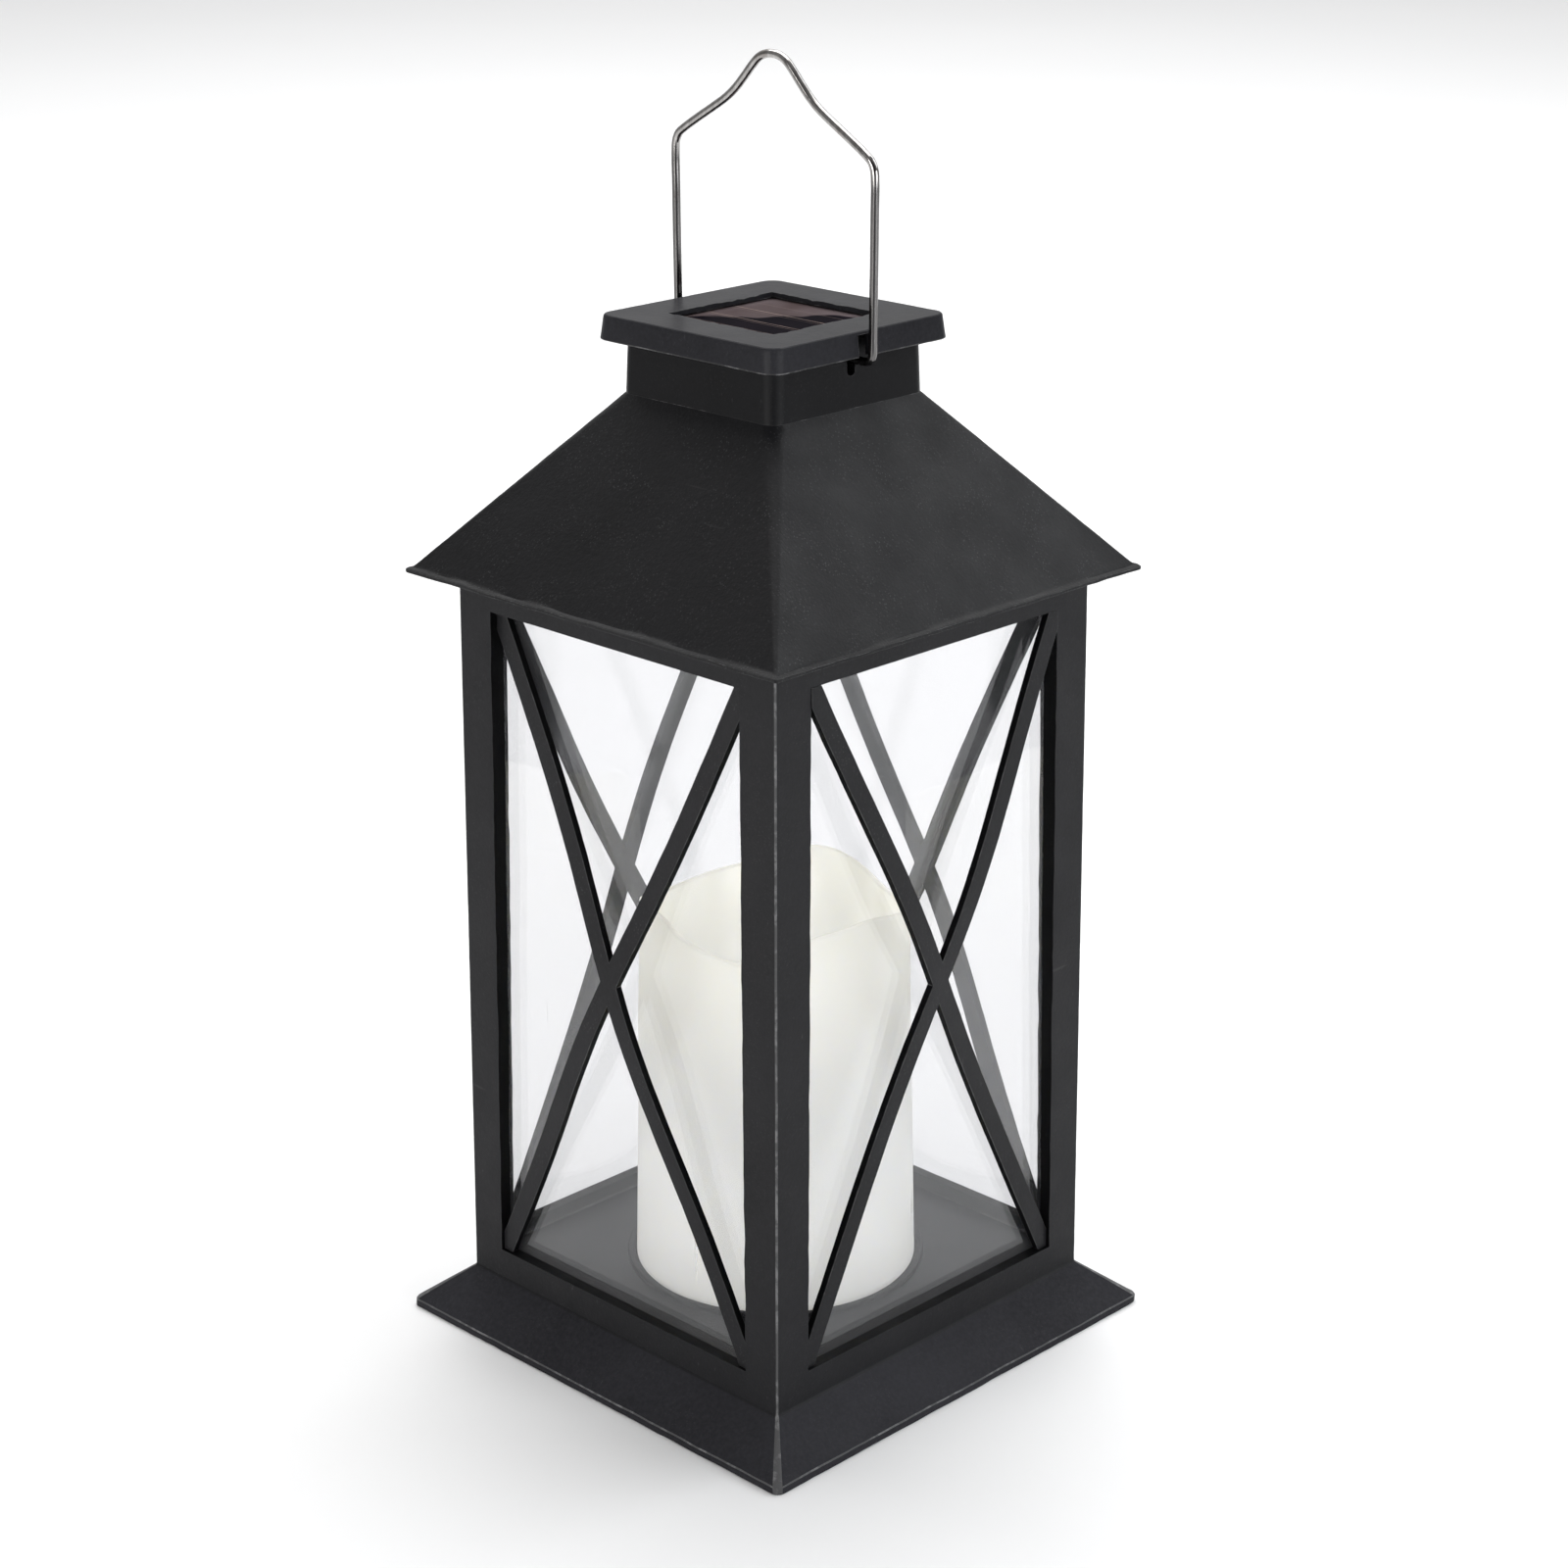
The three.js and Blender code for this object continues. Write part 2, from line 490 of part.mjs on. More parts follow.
// ---------------------------------------------------------------- screws
// Pan head with a cross recess; head down, shank up.
function screw(headR, headH, shankR, length) {
  const body = lathe([[0, 0], [headR * 0.75, 0], [headR, headH * 0.45], [headR, headH], [shankR, headH],
    [shankR, headH + length - shankR], [0, headH + length]], 9);
  const w = headR * 0.16, l = headR * 0.62;
  return cut(body, box(-l, l, -w, w, -1, headH * 0.55), box(-w, w, -l, l, -1, headH * 0.55));
}
{
  const base = screw(2.7, 1.2, 1.2, 9.2);
  const roof = screw(2.9, 1.5, 1.2, 17.0);
  quadrants.forEach(([sx, sy], i) => {
    piece(`base_screw_${i + 1}`, base, 'screw', (m) => m.position.set(sx * BASE_SCREW_XY, sy * BASE_SCREW_XY, 1.4));
    piece(`roof_screw_${i + 1}`, roof, 'screw', (m) => m.position.set(sx * ROOF_SCREW_XY, sy * ROOF_SCREW_XY, 201.4));
  });
  piece('door_screw', screw(2.2, 1.1, 1.0, 3.8), 'screw', (m) => m.position.set(34.5, BATT_Y, 1.5));
  const small = screw(1.7, 0.9, 0.85, 3.2);
  piece('board_screw_1', small, 'screw', (m) => m.position.set(-11, 0, 11.4));
  piece('board_screw_2', small, 'screw', (m) => m.position.set(11, 0, 11.4));
}

// ---------------------------------------------------------------- underside cover
{
  const well = (x, y, r) => rod(x, y, COVER_Z0, 4.0, r, 12);
  let cover = join(
    loft([squareRing(COVER_HALF, 2.0, COVER_Z0), squareRing(COVER_HALF - 0.6, 1.6, COVER_Z1)]),
    ...fourCorners((sx, sy) => well(sx * BASE_SCREW_XY, sy * BASE_SCREW_XY, 4.4)),
  );
  // battery trough: two long walls, two end walls and the tab that takes the door's screw
  cover = join(cover,
    box(-29.5, 28.9, BATT_Y - 8.9, BATT_Y - 7.3, COVER_Z0, 12.6), box(-29.5, 28.9, BATT_Y + 7.3, BATT_Y + 8.9, COVER_Z0, 12.6),
    box(-29.5, -28.0, BATT_Y - 8.9, BATT_Y + 8.9, 4.4, 12.6), box(27.4, 28.9, BATT_Y - 8.9, BATT_Y + 8.9, 4.4, 12.6));
  cover = cut(cover,
    ...fourCorners((sx, sy) => rod(sx * BASE_SCREW_XY, sy * BASE_SCREW_XY, 0, 2.9, 3.2, 12)),
    ...fourCorners((sx, sy) => rod(sx * BASE_SCREW_XY, sy * BASE_SCREW_XY, 0, 5, 1.7, 8)),
    box(-28.0, 38.5, BATT_Y - 7.3, BATT_Y + 7.3, 0, COVER_Z1 + 0.1),
    // slot for the switch, with finger room
    box(SWITCH_X - 2.4, SWITCH_X + 2.4 + SWITCH_TRAVEL, SWITCH_Y - 1.6, SWITCH_Y + 1.6, 0, 4),
  );
  cover = join(cover, cut(box(30.5, 42.0, BATT_Y - 8.3, BATT_Y + 8.3, COVER_Z1 - 0.4, 7.4),
    box(28, 38.5, BATT_Y - 20, BATT_Y + 20, 0, 4.4)));
  cover = cut(cover, rod(34.5, BATT_Y, 4.0, 7.0, 1.35, 8));
  piece('base_cover', cover, 'blackSmooth');

  let door = join(box(-27.7, 38.2, BATT_Y - 7.0, BATT_Y + 7.0, COVER_Z0, COVER_Z1), rod(34.5, BATT_Y, COVER_Z0, 4.05, 3.6, 12),
    box(-29.2, -26, BATT_Y - 4.0, BATT_Y + 4.0, COVER_Z1 + 0.35 - 1.0, COVER_Z1 + 1.25));
  door = cut(door, rod(34.5, BATT_Y, 0, 2.9, 2.6, 12), rod(34.5, BATT_Y, 0, 5, 1.5, 8),
    box(-31, -27.7, BATT_Y - 5.0, BATT_Y + 5.0, 0, COVER_Z1 + 0.35),
    ...[-16, -13, -10].map((x) => box(x, x + 1.2, BATT_Y - 4.5, BATT_Y + 4.5, 0, COVER_Z0 + 0.5)));
  piece('battery_door', door, 'blackSmooth');
}

// ---------------------------------------------------------------- battery and contacts
{
  const r = CELL_AAA_R, l = CELL_AAA_L - 1.0;
  const cell = lathe([[0, 0], [r - 0.4, 0], [r, 0.4], [r, l - 0.5], [r - 0.5, l], [1.9, l], [1.9, l + 1.0], [0, l + 1.0]], 20);
  cell.rotateY(Math.PI / 2);
  cell.translate(-19.4, BATT_Y, BATT_Z);
  piece('battery_cell', cell, 'battery');
  piece('contact_plus', join(box(25.45, 25.85, BATT_Y - 4.2, BATT_Y + 4.2, 5.2, 12.0), box(25.45, 26.4, BATT_Y - 1.2, BATT_Y + 1.2, 11.6, 12.4)), 'nickel');
  piece('contact_minus', join(box(-27.6, -27.2, BATT_Y - 4.2, BATT_Y + 4.2, 5.2, 12.0), box(-27.6, -27.0, BATT_Y - 1.2, BATT_Y + 1.2, 11.6, 12.4)), 'nickel');
  const helix = [];
  const turns = 3.5, n = 42;
  for (let i = 0; i <= n; i++) {
    const t = i / n, a = 2 * Math.PI * turns * t, rr = 3.2 - 1.0 * t;
    helix.push([-26.5 + 6.2 * t, BATT_Y + rr * Math.cos(a), BATT_Z - 0.4 + rr * Math.sin(a)]);
  }
  piece('contact_spring', wire(helix, 0.35, 52, 5), 'nickel');
}

// ---------------------------------------------------------------- circuit board and light
piece('circuit_board', cut(box(-15, 15, -11, 11, 12.6, 13.8), rod(-11, 0, 12, 15, 1.15, 10), rod(11, 0, 12, 15, 1.15, 10)), 'pcb');
piece('led_lamp', lathe([[0, 14.1], [2.9, 14.1], [2.9, 15.1], [2.5, 15.1], [2.5, 20.2], [2.2, 21.4], [1.4, 22.4], [0, 22.8]], 18), 'lens');
piece('controller_chip', box(-5.5, -1.2, -8.2, -4.4, 10.6, 12.3), 'epoxy');
piece('coil_choke', join(rodX(6.2, 9.9, -4.2, 4.2, 2.0, 14), rodX(6.2, 9.9, -5.0, -3.2, 2.3, 14), rodX(6.2, 9.9, 3.2, 5.0, 2.3, 14)), 'coil');

// ---------------------------------------------------------------- slide switch
{
  const x0 = SWITCH_X - 5.2, x1 = SWITCH_X + SWITCH_TRAVEL + 5.2;
  const body = cut(box(x0, x1, SWITCH_Y - 3.4, SWITCH_Y + 3.4, 3.1, 8.6),
    box(SWITCH_X - 3.6, SWITCH_X + SWITCH_TRAVEL + 3.6, SWITCH_Y - 2.2, SWITCH_Y + 2.2, 4.2, 7.0),
    box(SWITCH_X - 2.3, SWITCH_X + SWITCH_TRAVEL + 2.3, SWITCH_Y - 1.5, SWITCH_Y + 1.5, 2, 5));
  piece('switch_body', body, 'epoxy');
  piece('switch_slider', join(box(SWITCH_X - 3.2, SWITCH_X + 3.2, SWITCH_Y - 1.9, SWITCH_Y + 1.9, 4.5, 6.6),
    box(SWITCH_X - 1.9, SWITCH_X + 1.9, SWITCH_Y - 1.2, SWITCH_Y + 1.2, 0.6, 4.8)), 'knob');
}

// ---------------------------------------------------------------- leads
// Cell leads: down the neck, across the top of the ceiling plate, down the back
// left post behind the panes, and in under the floor plate to the board.
{
  const route = (d, ex) => [
    [ex, 6, 268.3], [ex, 6.2, 264], [ex * 1.3 - 2, 8, 257], [-11 + d, 13 + d, 246], [-25 + d, 22 + d, 229],
    [-39 + d, 30 + d, 215.5], [-46.0 + d, 35.5 + d, 211.8], [-48.6 + d, 40.5 + d, 210.9], [-49.3 + d, 45.2 + d, 210.9],
    [-49.5 + d, 48.6 + d, 209.2], [-49.6 + d, 49.5 + d, 205.0], [-49.6 + d, 49.6 + d, 190],
    [-50.1 + d, 50.1 + d, 120], [-50.5 + d, 50.5 + d, 60], [-50.8 + d, 50.8 + d, 22],
    [-50.8 + d, 50.8 + d, 13.0], [-51.4 + d, 49.4 + d, 9.8], [-52.0 + d, 44.5 + d, 8.4],
    [-49.0 + d, 38.5 + d, 8.1], [-36 + d, 28 + d, 8.0], [-22 + d, 16 + d, 8.2],
    [-13.6 + d * 1.6, 8.8 + d * 1.6, 9.6], [-12.8 + d * 1.6, 8.2 + d * 1.6, 11.0], [-12.8 + d * 1.6, 8.2 + d * 1.6, 12.2],
  ];
  piece('cell_lead_red', wire(route(0.8, 1.4), LEAD_R, 60, 6), 'red');
  piece('cell_lead_black', wire(route(-0.8, -1.4), LEAD_R, 60, 6), 'ink');
  piece('battery_lead_black', wire([[-27.3, BATT_Y, 13.35], [-27.6, BATT_Y + 4, 13.8], [-25.5, BATT_Y + 12, 13.2], [-21, -18, 11], [-16, -12.2, 9.4],
    [-12.8, -9.2, 9.8], [-12.6, -8.9, 11.0], [-12.6, -8.9, 12.2]], LEAD_R, 18, 6), 'ink');
  piece('battery_lead_red', wire([[26.0, BATT_Y, 13.35], [27.6, BATT_Y + 4, 13.8], [29.5, BATT_Y + 12, 12.9], [31, -16, 10.5], [29.2, 8, 9.8],
    [28.4, 19, 11.0], [28.4, 22.8, 10.9], [28.4, 23.6, 10.1], [28.4, 23.6, 9.0]], LEAD_R, 22, 6), 'red');
  piece('switch_lead_red', wire([[34.4, 23.6, 9.0], [34.4, 23.6, 10.1], [33.4, 22.2, 12.4], [28, 17, 13.2], [21, 12.2, 12.0], [16.4, 9.6, 10.2], [13.9, 8.5, 10.0], [13.4, 8.4, 11.0], [13.4, 8.4, 12.2]], LEAD_R, 18, 6), 'red');
}

export default lantern;
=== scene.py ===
import bpy
import bmesh
import math
import numpy as np
from mathutils import Vector, Matrix, noise


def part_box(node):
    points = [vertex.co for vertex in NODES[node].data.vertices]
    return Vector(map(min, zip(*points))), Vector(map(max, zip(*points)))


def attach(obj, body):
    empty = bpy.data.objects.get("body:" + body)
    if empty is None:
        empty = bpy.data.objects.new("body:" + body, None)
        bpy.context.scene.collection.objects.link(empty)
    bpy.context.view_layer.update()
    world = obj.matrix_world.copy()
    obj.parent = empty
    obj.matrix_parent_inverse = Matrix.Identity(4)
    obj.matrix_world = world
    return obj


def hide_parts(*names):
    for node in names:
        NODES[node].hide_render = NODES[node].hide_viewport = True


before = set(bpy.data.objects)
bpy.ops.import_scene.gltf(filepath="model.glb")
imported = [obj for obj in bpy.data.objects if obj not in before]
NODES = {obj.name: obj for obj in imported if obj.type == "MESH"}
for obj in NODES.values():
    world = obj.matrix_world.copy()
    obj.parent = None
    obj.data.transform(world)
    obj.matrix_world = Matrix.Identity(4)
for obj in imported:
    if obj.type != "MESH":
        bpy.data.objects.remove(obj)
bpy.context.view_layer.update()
MM = 0.001
scene = bpy.context.scene

# ------------------------------------------------------------------ camera
EYE = Vector((0.56415, -0.56797, 0.43601))
AIM = Vector((0.00178, 0.00175, 0.15004))
ROLL = math.radians(0.099)


def add_camera():
    fwd = (AIM - EYE).normalized()
    right0 = fwd.cross(Vector((0, 0, 1))).normalized()
    up0 = right0.cross(fwd)
    right = right0 * math.cos(ROLL) - up0 * math.sin(ROLL)
    up = right0 * math.sin(ROLL) + up0 * math.cos(ROLL)
    cam = bpy.data.cameras.new("camera")
    cam.lens, cam.sensor_width, cam.sensor_fit = 75.78, 36.0, "HORIZONTAL"
    cam.clip_start, cam.clip_end = 0.02, 60.0
    ob = bpy.data.objects.new("camera", cam)
    scene.collection.objects.link(ob)
    m = Matrix((right, up, -fwd)).transposed().to_4x4()
    m.translation = EYE
    ob.matrix_world = m
    scene.camera = ob


add_camera()
scene.view_settings.view_transform = "Standard"


# ------------------------------------------------------------------ mesh helpers
def new_object(name, verts, faces, scale=MM):
    me = bpy.data.meshes.new(name)
    me.from_pydata([tuple(c * scale for c in v) for v in verts], [], faces)
    me.validate()
    ob = bpy.data.objects.new(name, me)
    scene.collection.objects.link(ob)
    fix_normals(ob)
    return ob


def fix_normals(ob):
    bm = bmesh.new()
    bm.from_mesh(ob.data)
    bmesh.ops.recalc_face_normals(bm, faces=bm.faces)
    bm.to_mesh(ob.data)
    bm.free()


def apply_modifiers(ob):
    dg = bpy.context.evaluated_depsgraph_get()
    dg.update()
    me = bpy.data.meshes.new_from_object(ob.evaluated_get(dg), preserve_all_data_layers=True, depsgraph=dg)
    old = ob.data
    ob.modifiers.clear()
    ob.data = me
    bpy.data.meshes.remove(old)


def remove(*obs):
    for o in obs:
        me = o.data
        bpy.data.objects.remove(o)
        if me.users == 0:
            bpy.data.meshes.remove(me)


def boolean(ob, tools, op="DIFFERENCE"):
    for t in tools:
        m = ob.modifiers.new("b", "BOOLEAN")
        m.object, m.operation, m.solver = t, op, "EXACT"
    apply_modifiers(ob)
    remove(*tools)
    return ob


def tidy(ob, angle=0.4):
    bm = bmesh.new()
    bm.from_mesh(ob.data)
    bmesh.ops.remove_doubles(bm, verts=bm.verts, dist=1e-6)
    bmesh.ops.dissolve_limit(bm, angle_limit=math.radians(angle), verts=bm.verts, edges=bm.edges, delimit=set())
    bmesh.ops.recalc_face_normals(bm, faces=bm.faces)
    bm.to_mesh(ob.data)
    bm.free()


def bevel(ob, width, segments=2, angle=29, material=-1):
    m = ob.modifiers.new("v", "BEVEL")
    m.width, m.segments, m.limit_method = width * MM, segments, "ANGLE"
    m.angle_limit, m.material, m.use_clamp_overlap = math.radians(angle), material, True
    apply_modifiers(ob)


def slice_up(ob, xs=(), ys=(), zs=()):
    """Adds edge loops on axis-aligned planes, given in mm, so that the faces can carry a gentle unevenness."""
    bm = bmesh.new()
    bm.from_mesh(ob.data)
    for axis, values in ((0, xs), (1, ys), (2, zs)):
        n = Vector([1.0 if i == axis else 0.0 for i in range(3)])
        for v in values:
            bmesh.ops.bisect_plane(bm, geom=bm.verts[:] + bm.edges[:] + bm.faces[:], dist=1e-7,
                                   plane_co=n * v * MM, plane_no=n, clear_inner=False, clear_outer=False)
    bm.to_mesh(ob.data)
    bm.free()


def wobble(ob, layers, seed=0.0, keep=None, where=None):
    """Moves vertices by smooth noise: layers are (amplitude mm, feature size mm). keep is a CAD node whose box bounds the result."""
    me = ob.data
    lo, hi = (None, None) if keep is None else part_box(keep)
    for v in me.vertices:
        p = v.co / MM
        w = 1.0 if where is None else where(p)
        d = Vector((0, 0, 0))
        for amp, size in layers:
            d += noise.noise_vector(p / size + Vector((seed, seed * 1.7, -seed))) * amp * w
        q = v.co + d * MM
        if lo is not None:
            q = Vector([min(max(q[i], lo[i]), hi[i]) for i in range(3)])
        v.co = q


def keep_inside(ob, node):
    lo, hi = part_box(node)
    for v in ob.data.vertices:
        v.co = [min(max(v.co[i], lo[i]), hi[i]) for i in range(3)]


def shade(ob, angle=32, weighted=True):
    me = ob.data
    me.polygons.foreach_set("use_smooth", [True] * len(me.polygons))
    me.set_sharp_from_angle(angle=math.radians(angle))
    if weighted:
        m = ob.modifiers.new("weighted", "WEIGHTED_NORMAL")
        m.keep_sharp, m.weight = True, 60
    me.update()


def sq_ring(half, r, z, seg=6):
    pts = []
    c = half - r
    for k, (sx, sy) in enumerate(((1, 1), (-1, 1), (-1, -1), (1, -1))):
        for i in range(seg + 1):
            a = math.radians(90 * k + 90 * i / seg)
            pts.append((sx * c + r * math.cos(a), sy * c + r * math.sin(a), z))
    return pts


def loft(name, rings):
    n = len(rings[0])
    verts = [p for ring in rings for p in ring]
    faces = []
    for k in range(len(rings) - 1):
        for i in range(n):
            a, b = k * n + i, k * n + (i + 1) % n
            faces.append((a, b, b + n, a + n))
    faces.append(tuple(reversed(range(n))))
    faces.append(tuple(range((len(rings) - 1) * n, len(rings) * n)))
    return new_object(name, verts, faces)


def torus_loft(name, rings):
    n, m = len(rings[0]), len(rings)
    verts = [p for ring in rings for p in ring]
    faces = []
    for k in range(m):
        k2 = (k + 1) % m
        for i in range(n):
            i2 = (i + 1) % n
            faces.append((k * n + i, k * n + i2, k2 * n + i2, k2 * n + i))
    return new_object(name, verts, faces)


def block(name, x0, x1, y0, y1, z0, z1):
    v = [(x0, y0, z0), (x1, y0, z0), (x1, y1, z0), (x0, y1, z0), (x0, y0, z1), (x1, y0, z1), (x1, y1, z1), (x0, y1, z1)]
    f = [(0, 3, 2, 1), (4, 5, 6, 7), (0, 1, 5, 4), (1, 2, 6, 5), (2, 3, 7, 6), (3, 0, 4, 7)]
    return new_object(name, v, f)


def turned(name, profile, seg=48, axis="z", at=(0, 0, 0)):
    """Closed surface of revolution from (radius, height) points; the first and last are on the axis."""
    verts, faces = [], []
    rows = []
    for r, h in profile:
        if r < 1e-6:
            rows.append([len(verts)])
            verts.append((0.0, 0.0, h))
        else:
            rows.append(list(range(len(verts), len(verts) + seg)))
            for i in range(seg):
                a = 2 * math.pi * i / seg
                verts.append((r * math.cos(a), r * math.sin(a), h))
    for a, b in zip(rows, rows[1:]):
        for i in range(seg):
            j = (i + 1) % seg
            if len(a) == 1 and len(b) == 1:
                continue
            if len(a) == 1:
                faces.append((a[0], b[i], b[j]))
            elif len(b) == 1:
                faces.append((a[i], b[0], a[j]))
            else:
                faces.append((a[i], b[i], b[j], a[j]))
    if axis == "x":
        verts = [(z, y, -x) for x, y, z in verts]
    verts = [(x + at[0], y + at[1], z + at[2]) for x, y, z in verts]
    return new_object(name, verts, faces)


def rod(name, x, y, z0, z1, r, seg=32):
    return turned(name, [(0, z0), (r, z0), (r, z1), (0, z1)], seg, at=(x, y, 0))


def rod_x(name, y, z, x0, x1, r, seg=32):
    return turned(name, [(0, x0), (r, x0), (r, x1), (0, x1)], seg, axis="x", at=(0, y, z))


def spline(points, n):
    """n + 1 evenly spaced points on a centripetal Catmull-Rom curve through points."""
    P = [np.array(p, float) for p in points]
    P = [2 * P[0] - P[1]] + P + [2 * P[-1] - P[-2]]
    dense = []
    for i in range(1, len(P) - 2):
        p0, p1, p2, p3 = P[i - 1:i + 3]
        t0 = 0.0
        t1 = t0 + max(np.linalg.norm(p1 - p0), 1e-9) ** 0.5
        t2 = t1 + max(np.linalg.norm(p2 - p1), 1e-9) ** 0.5
        t3 = t2 + max(np.linalg.norm(p3 - p2), 1e-9) ** 0.5
        for t in np.linspace(t1, t2, 24, endpoint=False):
            a1 = (t1 - t) / (t1 - t0) * p0 + (t - t0) / (t1 - t0) * p1
            a2 = (t2 - t) / (t2 - t1) * p1 + (t - t1) / (t2 - t1) * p2
            a3 = (t3 - t) / (t3 - t2) * p2 + (t - t2) / (t3 - t2) * p3
            b1 = (t2 - t) / (t2 - t0) * a1 + (t - t0) / (t2 - t0) * a2
            b2 = (t3 - t) / (t3 - t1) * a2 + (t - t1) / (t3 - t1) * a3
            dense.append((t2 - t) / (t2 - t1) * b1 + (t - t1) / (t2 - t1) * b2)
    dense.append(P[-2])
    D = np.array(dense)
    s = np.concatenate([[0], np.cumsum(np.linalg.norm(np.diff(D, axis=0), axis=1))])
    u = np.linspace(0, s[-1], n + 1)
    return np.stack([np.interp(u, s, D[:, k]) for k in range(3)], axis=1)


def tube(name, points, r, n, sides=16, dome=True):
    """Round wire along a curve, with domed ends."""
    C = spline(points, n)
    T = np.gradient(C, axis=0)
    T /= np.linalg.norm(T, axis=1)[:, None]
    ref = np.array([0.0, 1.0, 0.0]) if abs(T[0][1]) < 0.9 else np.array([1.0, 0.0, 0.0])
    rings = []
    nrm = ref - T[0] * ref.dot(T[0])
    nrm /= np.linalg.norm(nrm)
    frames = []
    for t in T:
        nrm = nrm - t * nrm.dot(t)
        nrm /= np.linalg.norm(nrm)
        frames.append((nrm.copy(), np.cross(t, nrm)))
    def circle(c, f, rr):
        return [tuple(c + rr * (math.cos(a) * f[0] + math.sin(a) * f[1])) for a in (2 * math.pi * i / sides for i in range(sides))]
    verts = []
    radii = [(C[i], frames[i], r) for i in range(len(C))]
    if dome:
        first, last = radii[0], radii[-1]
        caps = [(math.cos(a), math.sin(a)) for a in (math.pi / 2 * k / 4 for k in range(1, 4))]
        radii = ([(first[0] + T[0] * r * (1 - s), first[1], r * c) for c, s in reversed(caps)]
                 + [(first[0] + T[0] * r, first[1], r)] + [q for q in radii if np.linalg.norm(q[0] - first[0]) > r * 1.2 and np.linalg.norm(q[0] - last[0]) > r * 1.2]
                 + [(last[0] - T[-1] * r, last[1], r)] + [(last[0] - T[-1] * r * (1 - s), last[1], r * c) for c, s in caps])
    for c, f, rr in radii:
        verts += circle(c, f, rr)
    faces = []
    m = len(radii)
    for k in range(m - 1):
        for i in range(sides):
            j = (i + 1) % sides
            faces.append((k * sides + i, k * sides + j, (k + 1) * sides + j, (k + 1) * sides + i))
    faces.append(tuple(range(sides)))
    faces.append(tuple(reversed(range((m - 1) * sides, m * sides))))
    return new_object(name, verts, faces)


# ------------------------------------------------------------------ material helpers
class Mat:
    def __init__(self, name):
        self.m = bpy.data.materials.new(name)
        self.m.use_nodes = True
        self.t = self.m.node_tree
        self.t.nodes.clear()
        self.out = self.t.nodes.new("ShaderNodeOutputMaterial")
        self.co = self.t.nodes.new("ShaderNodeTexCoord")

    def node(self, kind, **sockets):
        n = self.t.nodes.new(kind)
        for k, v in sockets.items():
            n.inputs[k.replace("_", " ")].default_value = v
        return n

    def link(self, a, b):
        self.t.links.new(a, b)
        return b

    def mapped(self, scale=(1, 1, 1), shift=(0, 0, 0), rot=(0, 0, 0)):
        n = self.t.nodes.new("ShaderNodeMapping")
        n.inputs["Scale"].default_value = scale
        n.inputs["Location"].default_value = shift
        n.inputs["Rotation"].default_value = rot
        self.link(self.co.outputs["Object"], n.inputs["Vector"])
        return n.outputs[0]

    def noise(self, scale, detail=2.0, rough=0.5, vec=None, distortion=0.0):
        n = self.node("ShaderNodeTexNoise", Scale=scale, Detail=detail, Roughness=rough, Distortion=distortion)
        self.link(vec if vec is not None else self.co.outputs["Object"], n.inputs["Vector"])
        return n.outputs["Fac"]

    def voronoi(self, scale, vec=None, feature="F1"):
        n = self.node("ShaderNodeTexVoronoi", Scale=scale)
        n.feature = feature
        self.link(vec if vec is not None else self.co.outputs["Object"], n.inputs["Vector"])
        return n.outputs["Distance"]

    def ramp(self, fac, stops, mode="LINEAR"):
        n = self.t.nodes.new("ShaderNodeValToRGB")
        n.color_ramp.interpolation = mode
        els = n.color_ramp.elements
        while len(els) < len(stops):
            els.new(0.5)
        for e, (p, c) in zip(els, stops):
            e.position = p
            e.color = c if len(c) == 4 else (*c, 1.0)
        self.link(fac, n.inputs["Fac"])
        return n.outputs["Color"]

    def math(self, op, a, b=None, clamp=False):
        n = self.t.nodes.new("ShaderNodeMath")
        n.operation = op
        n.use_clamp = clamp
        for i, v in enumerate((a, b)):
            if v is None:
                continue
            if isinstance(v, (int, float)):
                n.inputs[i].default_value = v
            else:
                self.link(v, n.inputs[i])
        return n.outputs[0]

    def remap(self, fac, a, b, c, d):
        n = self.t.nodes.new("ShaderNodeMapRange")
        n.clamp = True
        for k, v in zip(("From Min", "From Max", "To Min", "To Max"), (a, b, c, d)):
            n.inputs[k].default_value = v
        self.link(fac, n.inputs["Value"])
        return n.outputs["Result"]

    def mix(self, fac, a, b):
        n = self.t.nodes.new("ShaderNodeMix")
        n.data_type = "RGBA"
        for sock, v in ((n.inputs[0], fac), (n.inputs[6], a), (n.inputs[7], b)):
            if isinstance(v, (int, float)):
                sock.default_value = v
            elif isinstance(v, tuple):
                sock.default_value = v if len(v) == 4 else (*v, 1.0)
            else:
                self.link(v, sock)
        return n.outputs[2]

    def bump(self, height, distance, strength=1.0, under=None):
        n = self.node("ShaderNodeBump", Strength=strength, Distance=distance)
        self.link(height, n.inputs["Height"])
        if under is not None:
            self.link(under, n.inputs["Normal"])
        return n.outputs["Normal"]

    def principled(self, color=None, rough=None, normal=None, **sockets):
        n = self.node("ShaderNodeBsdfPrincipled")
        for k, v in sockets.items():
            n.inputs[k.replace("_", " ")].default_value = v
        for key, v in (("Base Color", color), ("Roughness", rough), ("Normal", normal)):
            if v is None:
                continue
            if isinstance(v, (int, float)):
                n.inputs[key].default_value = v
            elif isinstance(v, tuple):
                n.inputs[key].default_value = v if len(v) == 4 else (*v, 1.0)
            else:
                self.link(v, n.inputs[key])
        return n.outputs["BSDF"]

    def done(self, shader):
        self.link(shader, self.out.inputs["Surface"])
        return self.m


def separate(M, vec=None):
    n = M.t.nodes.new("ShaderNodeSeparateXYZ")
    M.link(vec if vec is not None else M.co.outputs["Object"], n.inputs[0])
    return n.outputs


